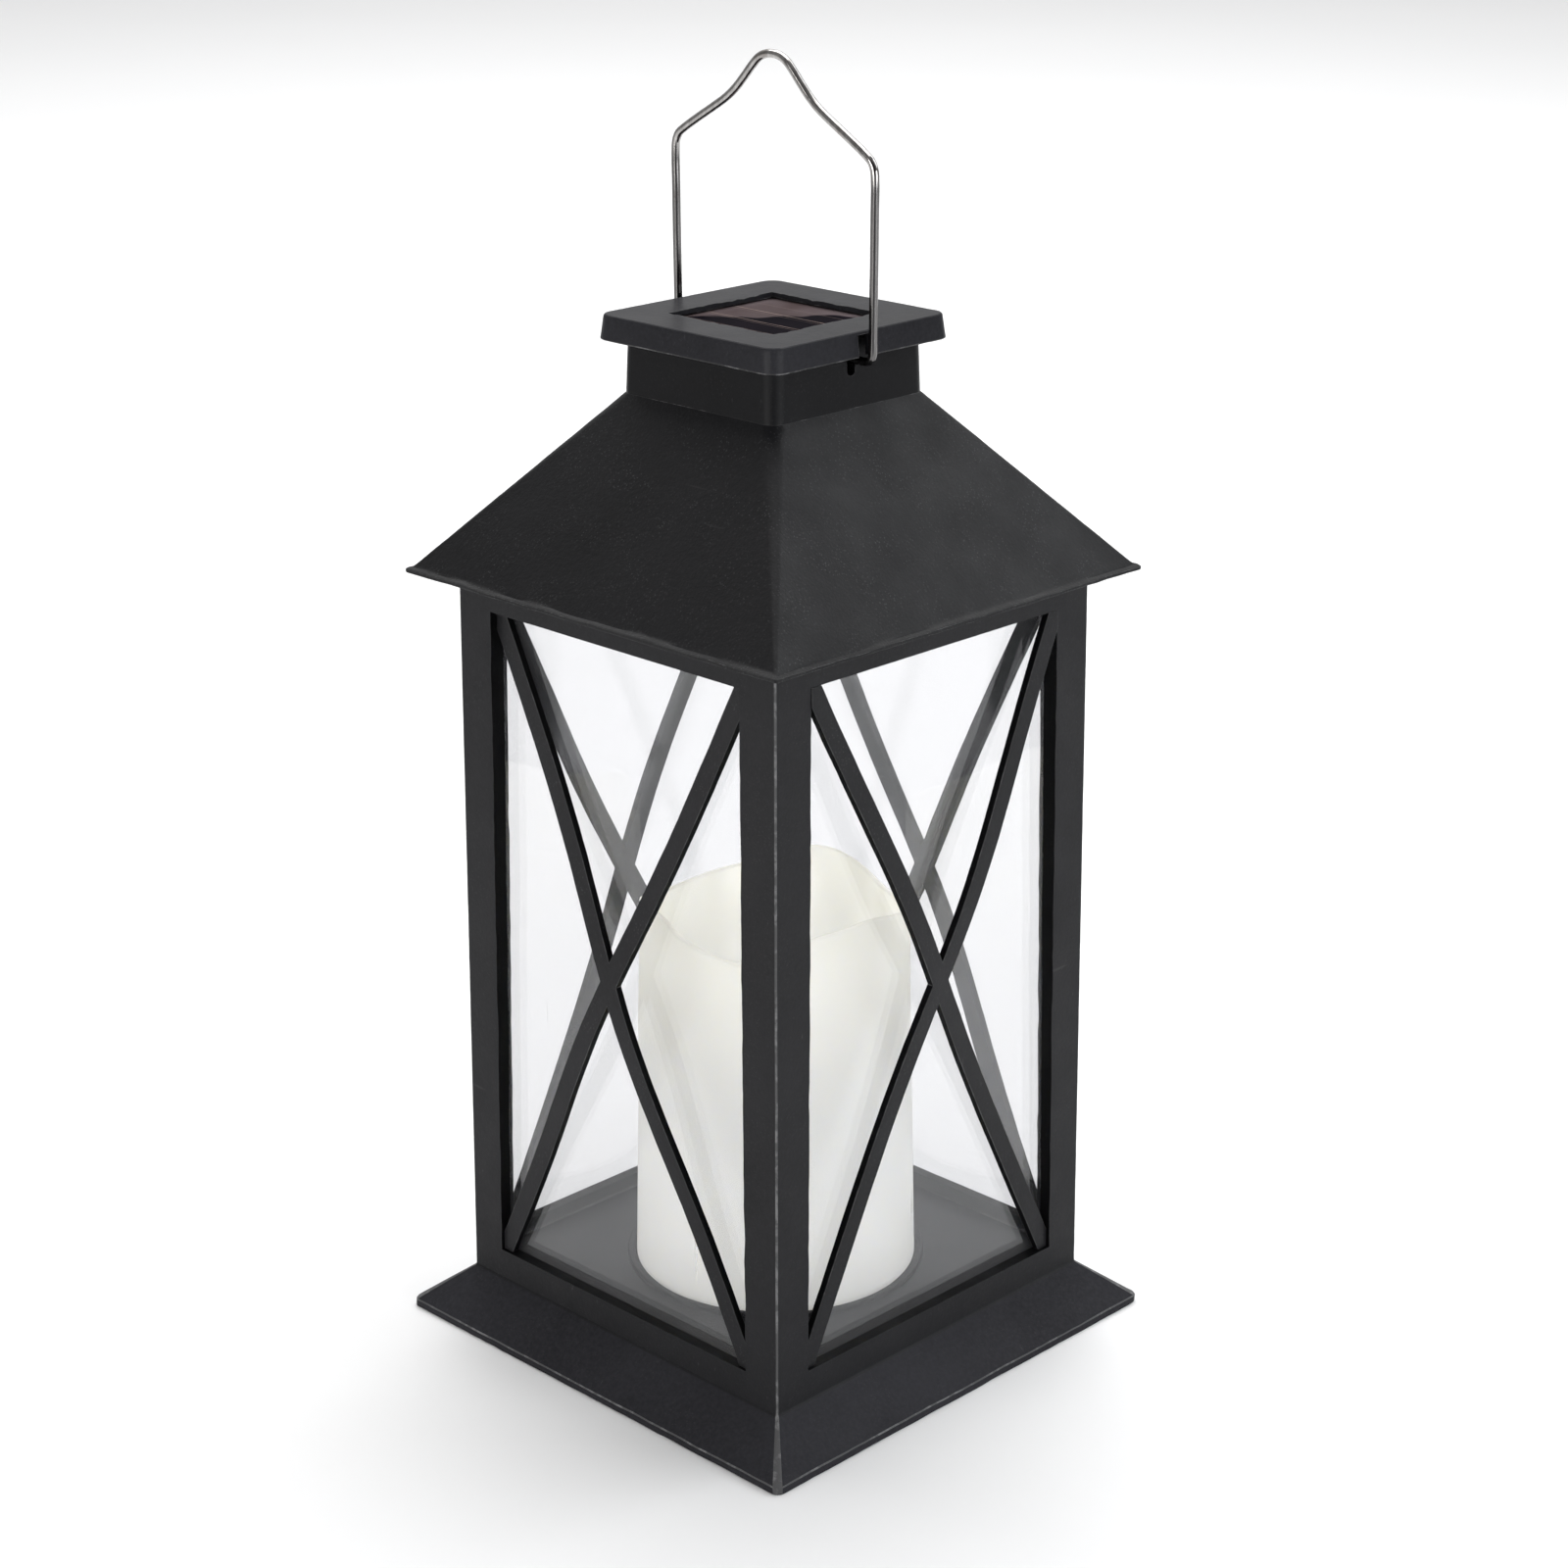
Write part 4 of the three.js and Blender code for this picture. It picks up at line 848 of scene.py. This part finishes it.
# ------------------------------------------------------------------ panes
def build_pane(k, side):
    def y(z, d):
        return -(inner_half(z) - 0.3 - d)
    rows = []
    zs = [16.95, 17.15] + [float(z) for z in np.linspace(24, 196, 20)] + [202.2, 202.4]
    xs = [-1.0, -0.996] + [float(x) for x in np.linspace(-0.9, 0.9, 13)] + [0.996, 1.0]
    half = lambda z: 48.1 - (48.1 - 47.1) * (z - 16.95) / (202.4 - 16.95)
    verts, faces = [], []
    n, m = len(xs), len(zs)
    for d in (0.0, 1.2):
        for j, z in enumerate(zs):
            for i, x in enumerate(xs):
                edge = i in (0, n - 1) or j in (0, m - 1)
                dd = d + (0.25 if d == 0.0 else -0.25) * edge
                verts.append((x * half(z), y(z, dd), z))
    def vid(l, j, i):
        return l * n * m + j * n + i
    for j in range(m - 1):
        for i in range(n - 1):
            faces.append((vid(0, j, i), vid(0, j, i + 1), vid(0, j + 1, i + 1), vid(0, j + 1, i)))
            faces.append((vid(1, j, i), vid(1, j + 1, i), vid(1, j + 1, i + 1), vid(1, j, i + 1)))
    rim = [(0, i) for i in range(n)] + [(j, n - 1) for j in range(1, m)] + [(m - 1, i) for i in range(n - 2, -1, -1)] + [(j, 0) for j in range(m - 2, 0, -1)]
    for (j0, i0), (j1, i1) in zip(rim, rim[1:] + rim[:1]):
        faces.append((vid(0, j0, i0), vid(1, j0, i0), vid(1, j1, i1), vid(0, j1, i1)))
    ob = new_object("pane_" + side + "_sheet", verts, faces)
    turn(ob, k)
    wear_mats(ob, "pane")
    shade(ob, 30, weighted=True)
    stands_for(ob, "lantern", "clear_pane", "pane_" + side)
    return ob


# ------------------------------------------------------------------ roof
def build_roof():
    ob = loft("roof", [
        sq_ring(65.6, 0.9, 207.1, 8), sq_ring(65.75, 1.0, 207.4, 8), sq_ring(65.75, 1.0, 207.95, 8), sq_ring(65.3, 0.9, 208.22, 8),
        sq_ring(64.45, 0.7, 208.42, 8), sq_ring(63.75, 0.8, 209.15, 8), sq_ring(26.85, 4.0, 253.1, 8), sq_ring(26.3, 4.0, 270.4, 8)])
    hollow = loft("c", [sq_ring(63.5, 0.5, 206.1, 4), sq_ring(62.5, 0.5, 208.2, 4), sq_ring(24.85, 2.2, 252.3, 4), sq_ring(24.3, 2.2, 271.4, 4)])
    boolean(ob, [hollow])
    boolean(ob, [rod("a", sx * 43, sy * 43, 209.2, 229.0, 3.2) for sx, sy in QUADS], "UNION")
    cuts = [rod("c", sx * 43, sy * 43, 208.5, 221.0, 1.5, 24) for sx, sy in QUADS]
    mid = 261.05 + 1.45
    for s in (-1, 1):
        cuts.append(block("c", min(s * 21, s * 28), max(s * 21, s * 28), -1.45, 1.45, mid, 271.4))
        cuts.append(rod_x("c", 0, mid, min(s * 21, s * 28), max(s * 21, s * 28), 1.45, 24))
    boolean(ob, cuts)
    tidy(ob, 0.3)
    wear_mats(ob, "roof", "roof_edge")
    bevel(ob, 0.28, 2, 33, 1)
    g = [float(v) for v in np.arange(-64.0, 65.0, 4.0)]
    slice_up(ob, g, g, [float(z) for z in np.arange(210.0, 270.0, 3.0)])

    def lip(p):
        return 2.6 if p.z < 208.6 else 0.6
    wobble(ob, [(0.12, 7.0), (0.07, 2.2)], 7.7, "roof_shell", lip)
    # the neck is smoother than the slopes; its darker tone is painted shade under the cap
    ob.data.materials.append(MAT["neck"])
    for f in ob.data.polygons:
        if f.center.z > 0.2535 and f.material_index == 0:
            f.material_index = 2
    shade(ob, 30)
    stands_for(ob, "lantern", "body_plastic", "roof_shell")
    return ob


def build_ceiling():
    ob = loft("ceiling", [sq_ring(61.8, 1.0, 207.4, 4), sq_ring(61.8, 1.0, 208.9, 4)])
    boolean(ob, [rod("c", sx * 43, sy * 43, 206, 210, 1.9, 24) for sx, sy in QUADS] + [rod("c", -49.3, 49.3, 206, 210, 3.3, 24)])
    tidy(ob)
    wear_mats(ob, "inside")
    bevel(ob, 0.2, 2, 40)
    shade(ob)
    stands_for(ob, "lantern", "body_plastic", "ceiling_plate")


# ------------------------------------------------------------------ cap, cell
def build_cap():
    ob = loft("cap", [
        sq_ring(31.0, 3.9, 266.4, 8), sq_ring(31.2, 4.0, 266.65, 8), sq_ring(30.58, 4.0, 272.15, 8),
        sq_ring(30.45, 3.95, 272.5, 8), sq_ring(30.15, 3.7, 272.7, 8)])
    hollow = loft("c", [sq_ring(29.15, 2.6, 265.4, 6), sq_ring(28.65, 2.3, 271.3, 6)])
    boolean(ob, [hollow, block("c", -18.25, 18.25, -18.25, 18.25, 270, 274)])
    pocket = block("a", -22, 22, -22, 22, 268.3, 271.6)
    boolean(pocket, [block("c", -21, 21, -21, 21, 267, 273)])
    boolean(ob, [pocket], "UNION")
    boolean(ob, [corner_block("a", sx, sy, 21.3, 23.15, 256.5, 271.6) for sx, sy in QUADS], "UNION")
    boolean(ob, [block("c", min(s * 28.2, s * 32.4), max(s * 28.2, s * 32.4), -2.1, 2.1, 265, 271.8) for s in (-1, 1)])
    tidy(ob, 0.3)
    wear_mats(ob, "cap", "edge")
    bevel(ob, 0.18, 2, 40, 1)
    g = [float(v) for v in np.arange(-30.0, 30.5, 2.0)]
    slice_up(ob, g, g, [float(z) for z in (267.5, 268.5, 269.5, 270.5, 271.5, 272.3)])

    def rough_window(p):
        m = max(abs(p.x), abs(p.y))
        return 4.0 if p.z > 271.4 and 17.4 < m < 19.1 else 0.6
    wobble(ob, [(0.07, 6.0), (0.07, 1.7)], 9.3, "solar_cap", rough_window)
    shade(ob, 30)
    stands_for(ob, "lantern", "body_plastic", "solar_cap")

    cell = loft("cell_tile", [sq_ring(19.25, 0.3, 269.0, 3), sq_ring(19.4, 0.4, 269.15, 3), sq_ring(19.4, 0.4, 270.8, 3), sq_ring(19.2, 0.3, 271.0, 3)])
    wear_mats(cell, "cell")
    shade(cell, 30)
    stands_for(cell, "lantern", "solar_glass", "solar_cell")


# ------------------------------------------------------------------ bail
BAIL = [(0, 335.2), (2.4, 334.9), (4.6, 333.9), (7.0, 331.7), (9.7, 328.8), (12.7, 325.8), (15.8, 323.4), (20.8, 320.4),
        (26.0, 317.4), (30.6, 314.6), (32.6, 313.1), (33.6, 311.2), (33.9, 308.5), (33.85, 300), (33.8, 290), (33.7, 280),
        (33.6, 272), (33.6, 268.8), (33.5, 267.3), (33.1, 266.2), (32.3, 265.45), (31.1, 265.2), (29.2, 265.2), (25.0, 265.2), (20.8, 265.2)]


def build_bail():
    right = [(x, 0, z) for x, z in BAIL]
    left = [(-x, 0, z) for x, z in BAIL[1:]][::-1]
    ob = tube("bail", left + right, 1.05, 420, 18)
    keep_inside(ob, "bail_wire")
    wear_mats(ob, "wire")
    shade(ob, 50, weighted=False)
    stands_for(ob, "bail", "bail_steel", "bail_wire")


# ------------------------------------------------------------------ floor and candle
def build_floor():
    ob = loft("floor", [sq_ring(54.0, 0.8, 15.0, 4), sq_ring(54.0, 0.8, 16.6, 4)])
    ring = turned("a", [(0, 16.1), (39.9, 16.1), (39.9, 17.55), (39.65, 17.85), (39.3, 17.9), (38.7, 17.9), (38.35, 17.85), (38.15, 17.6), (38.15, 16.35), (0, 16.35)], 96)
    bosses = [rod("a", s * 11, 0, 14.1, 15.8, 2.6) for s in (-1, 1)]
    boolean(ob, [ring] + bosses, "UNION")
    boolean(ob, [rod("c", 0, 0, 12, 20, 3.3, 40), block("c", -56, -48.6, 48.6, 56, 12, 20)] + [rod("c", s * 11, 0, 13, 15.9, 1.15, 20) for s in (-1, 1)])
    tidy(ob, 0.2)
    wear_mats(ob, "smooth", "edge_soft")
    shade(ob, 25)
    stands_for(ob, "lantern", "base_plastic", "floor_plate")


RIM = [(-60, 114.2), (-45, 117.4), (-29, 120.6), (-15, 121.8), (0, 122.3), (17, 120.2), (30, 118.2), (45, 115.5), (60, 113.9),
       (77, 114.4), (85, 116.0), (93, 118.2), (104, 120.4), (113, 121.1), (123, 120.4), (136, 118.0), (149, 115.8), (161, 114.8),
       (180, 113.7), (196, 114.2), (214, 117.0), (230, 120.0), (246, 121.6), (260, 120.9), (269, 118.3), (281, 116.2), (290, 114.8)]


def rim_height(deg):
    n = len(RIM)
    d = (deg + 60) % 360 - 60
    i = n - 1
    for k in range(n):
        if RIM[k][0] <= d:
            i = k
    def at(k):
        q, r = divmod(k, n)
        return RIM[r][0] + 360 * q, RIM[r][1]
    p0, p1, p2, p3 = at(i - 1), at(i), at(i + 1), at(i + 2)
    t = (d - p1[0]) / (p2[0] - p1[0])
    m1 = (p2[1] - p0[1]) / (p2[0] - p0[0]) * (p2[0] - p1[0])
    m2 = (p3[1] - p1[1]) / (p3[0] - p1[0]) * (p2[0] - p1[0])
    return (2 * t ** 3 - 3 * t ** 2 + 1) * p1[1] + (t ** 3 - 2 * t ** 2 + t) * m1 + (-2 * t ** 3 + 3 * t ** 2) * p2[1] + (t ** 3 - t ** 2) * m2


def build_candle():
    seg = 180
    zb, wall = 16.95, 1.7
    tops = [rim_height(360 * i / seg) for i in range(seg)]

    def radius(z):
        return 37.6 - 2.3 * (z - zb) / 100.0

    def swell(i, z, inner):
        a = math.radians(360 * i / seg)
        p = Vector((math.cos(a) * 1.6, math.sin(a) * 1.6, z / 34.0 + (5.0 if inner else 0.0)))
        k = min(max((z - 40) / 50, 0), 1)
        amp = (0.55 if inner else 0.30) * k
        return noise.noise(p) * amp - (0.0 if inner else 0.10)
    rows = []
    down = [0.0, 0.004, 0.02, 0.06, 0.12, 0.2, 0.3, 0.4, 0.5, 0.58, 0.65, 0.71, 0.77, 0.82, 0.86, 0.9, 0.93, 0.955, 0.975]
    cap = [(0.0, 1.2), (0.02, 0.7), (0.16, 0.30), (0.45, 0.07), (0.85, 0.0), (1.25, 0.07), (1.54, 0.30), (1.68, 0.7), (1.7, 1.2)]
    for t in down:
        ring = []
        for i in range(seg):
            z = zb + t * (tops[i] - 1.2 - zb)
            inset = 0.35 if t == 0.0 else 0.0
            r = radius(z) + swell(i, z, False) - inset
            a = math.radians(360 * i / seg)
            ring.append((r * math.cos(a), r * math.sin(a), z))
        rows.append(ring)
    for off, dz in cap:
        ring = []
        for i in range(seg):
            z = tops[i] - dz
            u = off / 1.7
            r = radius(z) - off + swell(i, z, False) * (1 - u) + swell(i, z, True) * u * 0.6
            a = math.radians(360 * i / seg)
            ring.append((r * math.cos(a), r * math.sin(a), z))
        rows.append(ring)
    for t in reversed(down):
        ring = []
        for i in range(seg):
            z = zb + t * (tops[i] - 1.2 - zb)
            r = radius(z) - wall + swell(i, z, True) * 0.6
            a = math.radians(360 * i / seg)
            ring.append((r * math.cos(a), r * math.sin(a), z))
        rows.append(ring)
    ob = torus_loft("candle", rows)
    keep_inside(ob, "candle_shell")
    wear_mats(ob, "candle")
    shade(ob, 60, weighted=False)
    stands_for(ob, "lantern", "candle_plastic", "candle_shell")


# ------------------------------------------------------------------ screws
def pan_head(name, r, h, shank, length, at, recess=0.62):
    """Pan head with a cross recess, head down."""
    x, y, z = at
    prof = [(0, 0.0), (r * 0.45, 0.02), (r * 0.72, h * 0.10), (r * 0.9, h * 0.30), (r, h * 0.6), (r, h * 0.94), (r * 0.97, h), (shank * 1.02, h)]
    zz = h + 0.2
    tip = h + length
    while zz < tip - shank * 1.2:
        prof += [(shank, zz), (shank * 0.86, zz + 0.22), (shank, zz + 0.44)]
        zz += 0.62
    prof += [(shank * 0.8, tip - shank * 0.8), (0, tip)]
    ob = turned(name, prof, 28, at=at)
    w, l = r * 0.15, r * recess
    tools = []
    for a, b in ((l, w), (w, l)):
        t = new_object("c", [(-a, -b, -1), (a, -b, -1), (a, b, -1), (-a, b, -1), (-a * 0.5, -b * 0.7, h * 0.62), (a * 0.5, -b * 0.7, h * 0.62), (a * 0.5, b * 0.7, h * 0.62), (-a * 0.5, b * 0.7, h * 0.62)],
                       [(0, 3, 2, 1), (4, 5, 6, 7), (0, 1, 5, 4), (1, 2, 6, 5), (2, 3, 7, 6), (3, 0, 4, 7)])
        t.data.transform(Matrix.Translation(Vector(at) * MM))
        tools.append(t)
    boolean(ob, tools)
    wear_mats(ob, "screw")
    shade(ob, 28, weighted=False)
    return ob


def build_screws():
    for i, (sx, sy) in enumerate(QUADS):
        ob = pan_head(f"base_screw_{i + 1}_zinc", 2.7, 1.2, 1.2, 9.2, (sx * 46, sy * 46, 1.4))
        stands_for(ob, "lantern", "screw_steel", f"base_screw_{i + 1}")
        ob = pan_head(f"roof_screw_{i + 1}_zinc", 2.9, 1.5, 1.2, 17.0, (sx * 43, sy * 43, 201.4))
        stands_for(ob, "lantern", "screw_steel", f"roof_screw_{i + 1}")
    ob = pan_head("door_screw_zinc", 2.2, 1.1, 1.0, 3.8, (34.5, -38.0, 1.5))
    stands_for(ob, "lantern", "screw_steel", "door_screw")
    for i, x in ((1, -11), (2, 11)):
        ob = pan_head(f"board_screw_{i}_zinc", 1.7, 0.9, 0.85, 3.2, (x, 0, 11.4))
        stands_for(ob, "lantern", "screw_steel", f"board_screw_{i}")


# ------------------------------------------------------------------ the rest keeps its CAD shape, with softened edges
def softened(node, name, mats, slot, width=0.2, angle=40, body="lantern", segments=2, smooth=32):
    src = NODES[node]
    me = src.data.copy()
    ob = bpy.data.objects.new(name, me)
    scene.collection.objects.link(ob)
    for a in list(me.attributes):
        if a.name == "custom_normal":
            me.attributes.remove(a)
    tidy(ob, 0.5)
    wear_mats(ob, *mats)
    for f in ob.data.polygons:
        f.material_index = 0
    if width:
        bevel(ob, width, segments, angle, 1 if len(mats) > 1 else -1)
    shade(ob, smooth)
    stands_for(ob, body, slot, node)
    return ob


def build_rest():
    softened("base_cover", "under_cover", ("smooth", "edge_soft"), "base_plastic", 0.2)
    softened("battery_door", "under_door", ("smooth", "edge_soft"), "base_plastic", 0.2)
    softened("switch_body", "switch_case", ("epoxy",), "part_black", 0.12)
    softened("switch_slider", "switch_knob", ("knob",), "knob_plastic", 0.18, body="switch")
    softened("contact_plus", "contact_plus_plate", ("nickel",), "contact_nickel", 0.06)
    softened("contact_minus", "contact_minus_plate", ("nickel",), "contact_nickel", 0.06)
    softened("circuit_board", "board", ("board",), "board_green", 0.06)
    softened("controller_chip", "chip", ("epoxy",), "part_black", 0.12)
    softened("cell_seal", "gasket", ("seal",), "seal_foam", 0.08)
    for node, key in (("contact_spring", "nickel"), ("cell_lead_red", "red"), ("cell_lead_black", "ink"),
                      ("battery_lead_black", "ink"), ("battery_lead_red", "red"), ("switch_lead_red", "red"), ("coil_choke", "coil")):
        ob = NODES[node]
        ob.data.materials.clear()
        ob.data.materials.append(MAT[key])
    cell = turned("aaa_cell", [(0, 0), (4.4, 0), (4.85, 0.05), (5.1, 0.18), (5.2, 0.45), (5.1, 0.8), (5.25, 1.1), (5.25, 41.9), (5.1, 42.3), (5.2, 42.6), (5.05, 43.1), (4.75, 43.4),
                                (2.4, 43.5), (1.95, 43.55), (1.9, 44.35), (1.75, 44.5), (0, 44.5)], 48, axis="x", at=(-19.4, -38.0, 9.0))
    wear_mats(cell, "battery", "nickel")
    for f in cell.data.polygons:
        x = f.center.x / MM
        if x < -18.5 or x > 22.8:
            f.material_index = 1
    shade(cell, 30, weighted=False)
    stands_for(cell, "lantern", "battery_sleeve", "battery_cell")
    dome = [(2.5 * math.cos(a), 20.2 + 2.6 * math.sin(a)) for a in (math.pi / 2 * i / 10 for i in range(10))]
    led = turned("lamp", [(0, 14.1), (2.8, 14.1), (2.9, 14.2), (2.9, 15.0), (2.8, 15.1), (2.5, 15.15)] + dome + [(0, 22.8)], 32)
    wear_mats(led, "lens")
    shade(led, 35, weighted=False)
    stands_for(led, "lantern", "lamp_lens", "led_lamp")


build_body()
for K, SIDE in enumerate(("front", "right", "back", "left")):
    build_brace(K, SIDE)
    build_pane(K, SIDE)
build_roof()
build_ceiling()
build_cap()
build_bail()
build_floor()
build_candle()
build_screws()
build_rest()


# ------------------------------------------------------------------ floor, light
def stage_floor():
    M = Mat("pale_floor")
    n = M.noise(3.0, 2.0, 0.5)
    col = M.mix(n, (0.845, 0.845, 0.848), (0.865, 0.865, 0.868))
    M.done(M.principled(col, 0.6, Specular_IOR_Level=0.2))
    s = 14.0
    me = bpy.data.meshes.new("stage_floor")
    me.from_pydata([(-s, -s, 0), (s, -s, 0), (s, s, 0), (-s, s, 0)], [], [(0, 1, 2, 3)])
    ob = bpy.data.objects.new("stage_floor", me)
    scene.collection.objects.link(ob)
    me.materials.append(M.m)


def area(name, loc, aim, size, power, color=(1, 1, 1)):
    li = bpy.data.lights.new(name, "AREA")
    li.shape = "RECTANGLE"
    li.size, li.size_y = size
    li.energy, li.color = power, color
    ob = bpy.data.objects.new(name, li)
    scene.collection.objects.link(ob)
    d = (Vector(aim) - Vector(loc)).normalized()
    ob.rotation_euler = d.to_track_quat("-Z", "Y").to_euler()
    ob.location = loc


def studio_world():
    """A pale room: bright behind the lantern, dim towards the front."""
    world = bpy.data.worlds.new("studio")
    scene.world = world
    world.use_nodes = True
    t = world.node_tree
    bg = t.nodes["Background"]
    co = t.nodes.new("ShaderNodeTexCoord")
    dot = t.nodes.new("ShaderNodeVectorMath")
    dot.operation = "DOT_PRODUCT"
    dot.inputs[1].default_value = (-0.7071, 0.7071, 0.0)
    t.links.new(co.outputs["Generated"], dot.inputs[0])
    half = t.nodes.new("ShaderNodeMapRange")
    for k, v in zip(("From Min", "From Max", "To Min", "To Max"), (-1.0, 1.0, 0.0, 1.0)):
        half.inputs[k].default_value = v
    t.links.new(dot.outputs["Value"], half.inputs["Value"])
    ramp = t.nodes.new("ShaderNodeValToRGB")
    els = ramp.color_ramp.elements
    while len(els) < 5:
        els.new(0.5)
    for e, (p, v) in zip(els, ((0.0, 0.12), (0.30, 0.24), (0.60, 0.32), (0.85, 0.52), (1.0, 0.58))):
        e.position, e.color = p, (v, v, v, 1.0)
    t.links.new(half.outputs["Result"], ramp.inputs["Fac"])
    t.links.new(ramp.outputs["Color"], bg.inputs["Color"])
    bg.inputs["Strength"].default_value = 1.0


studio_world()
stage_floor()
area("soft_top", (-0.75, 0.75, 2.0), (-0.75, 0.75, 0), (2.2, 2.2), 47.0)
area("soft_back_wash", (-2.9, 2.9, 3.2), (-2.9, 2.9, 0), (5.5, 5.5), 74.0)
area("soft_right_back", (0.78, 1.25, 1.35), (0, 0, 0.2), (1.2, 1.2), 13.0, (0.96, 0.98, 1.0))
area("soft_left_front", (-0.05, -1.7, 0.40), (0, 0, 0.50), (1.3, 0.7), 17.0, (1.0, 0.99, 0.97))
area("soft_right_front", (1.7, 0.05, 0.40), (0, 0, 0.50), (1.3, 0.7), 15.0, (0.97, 0.985, 1.0))
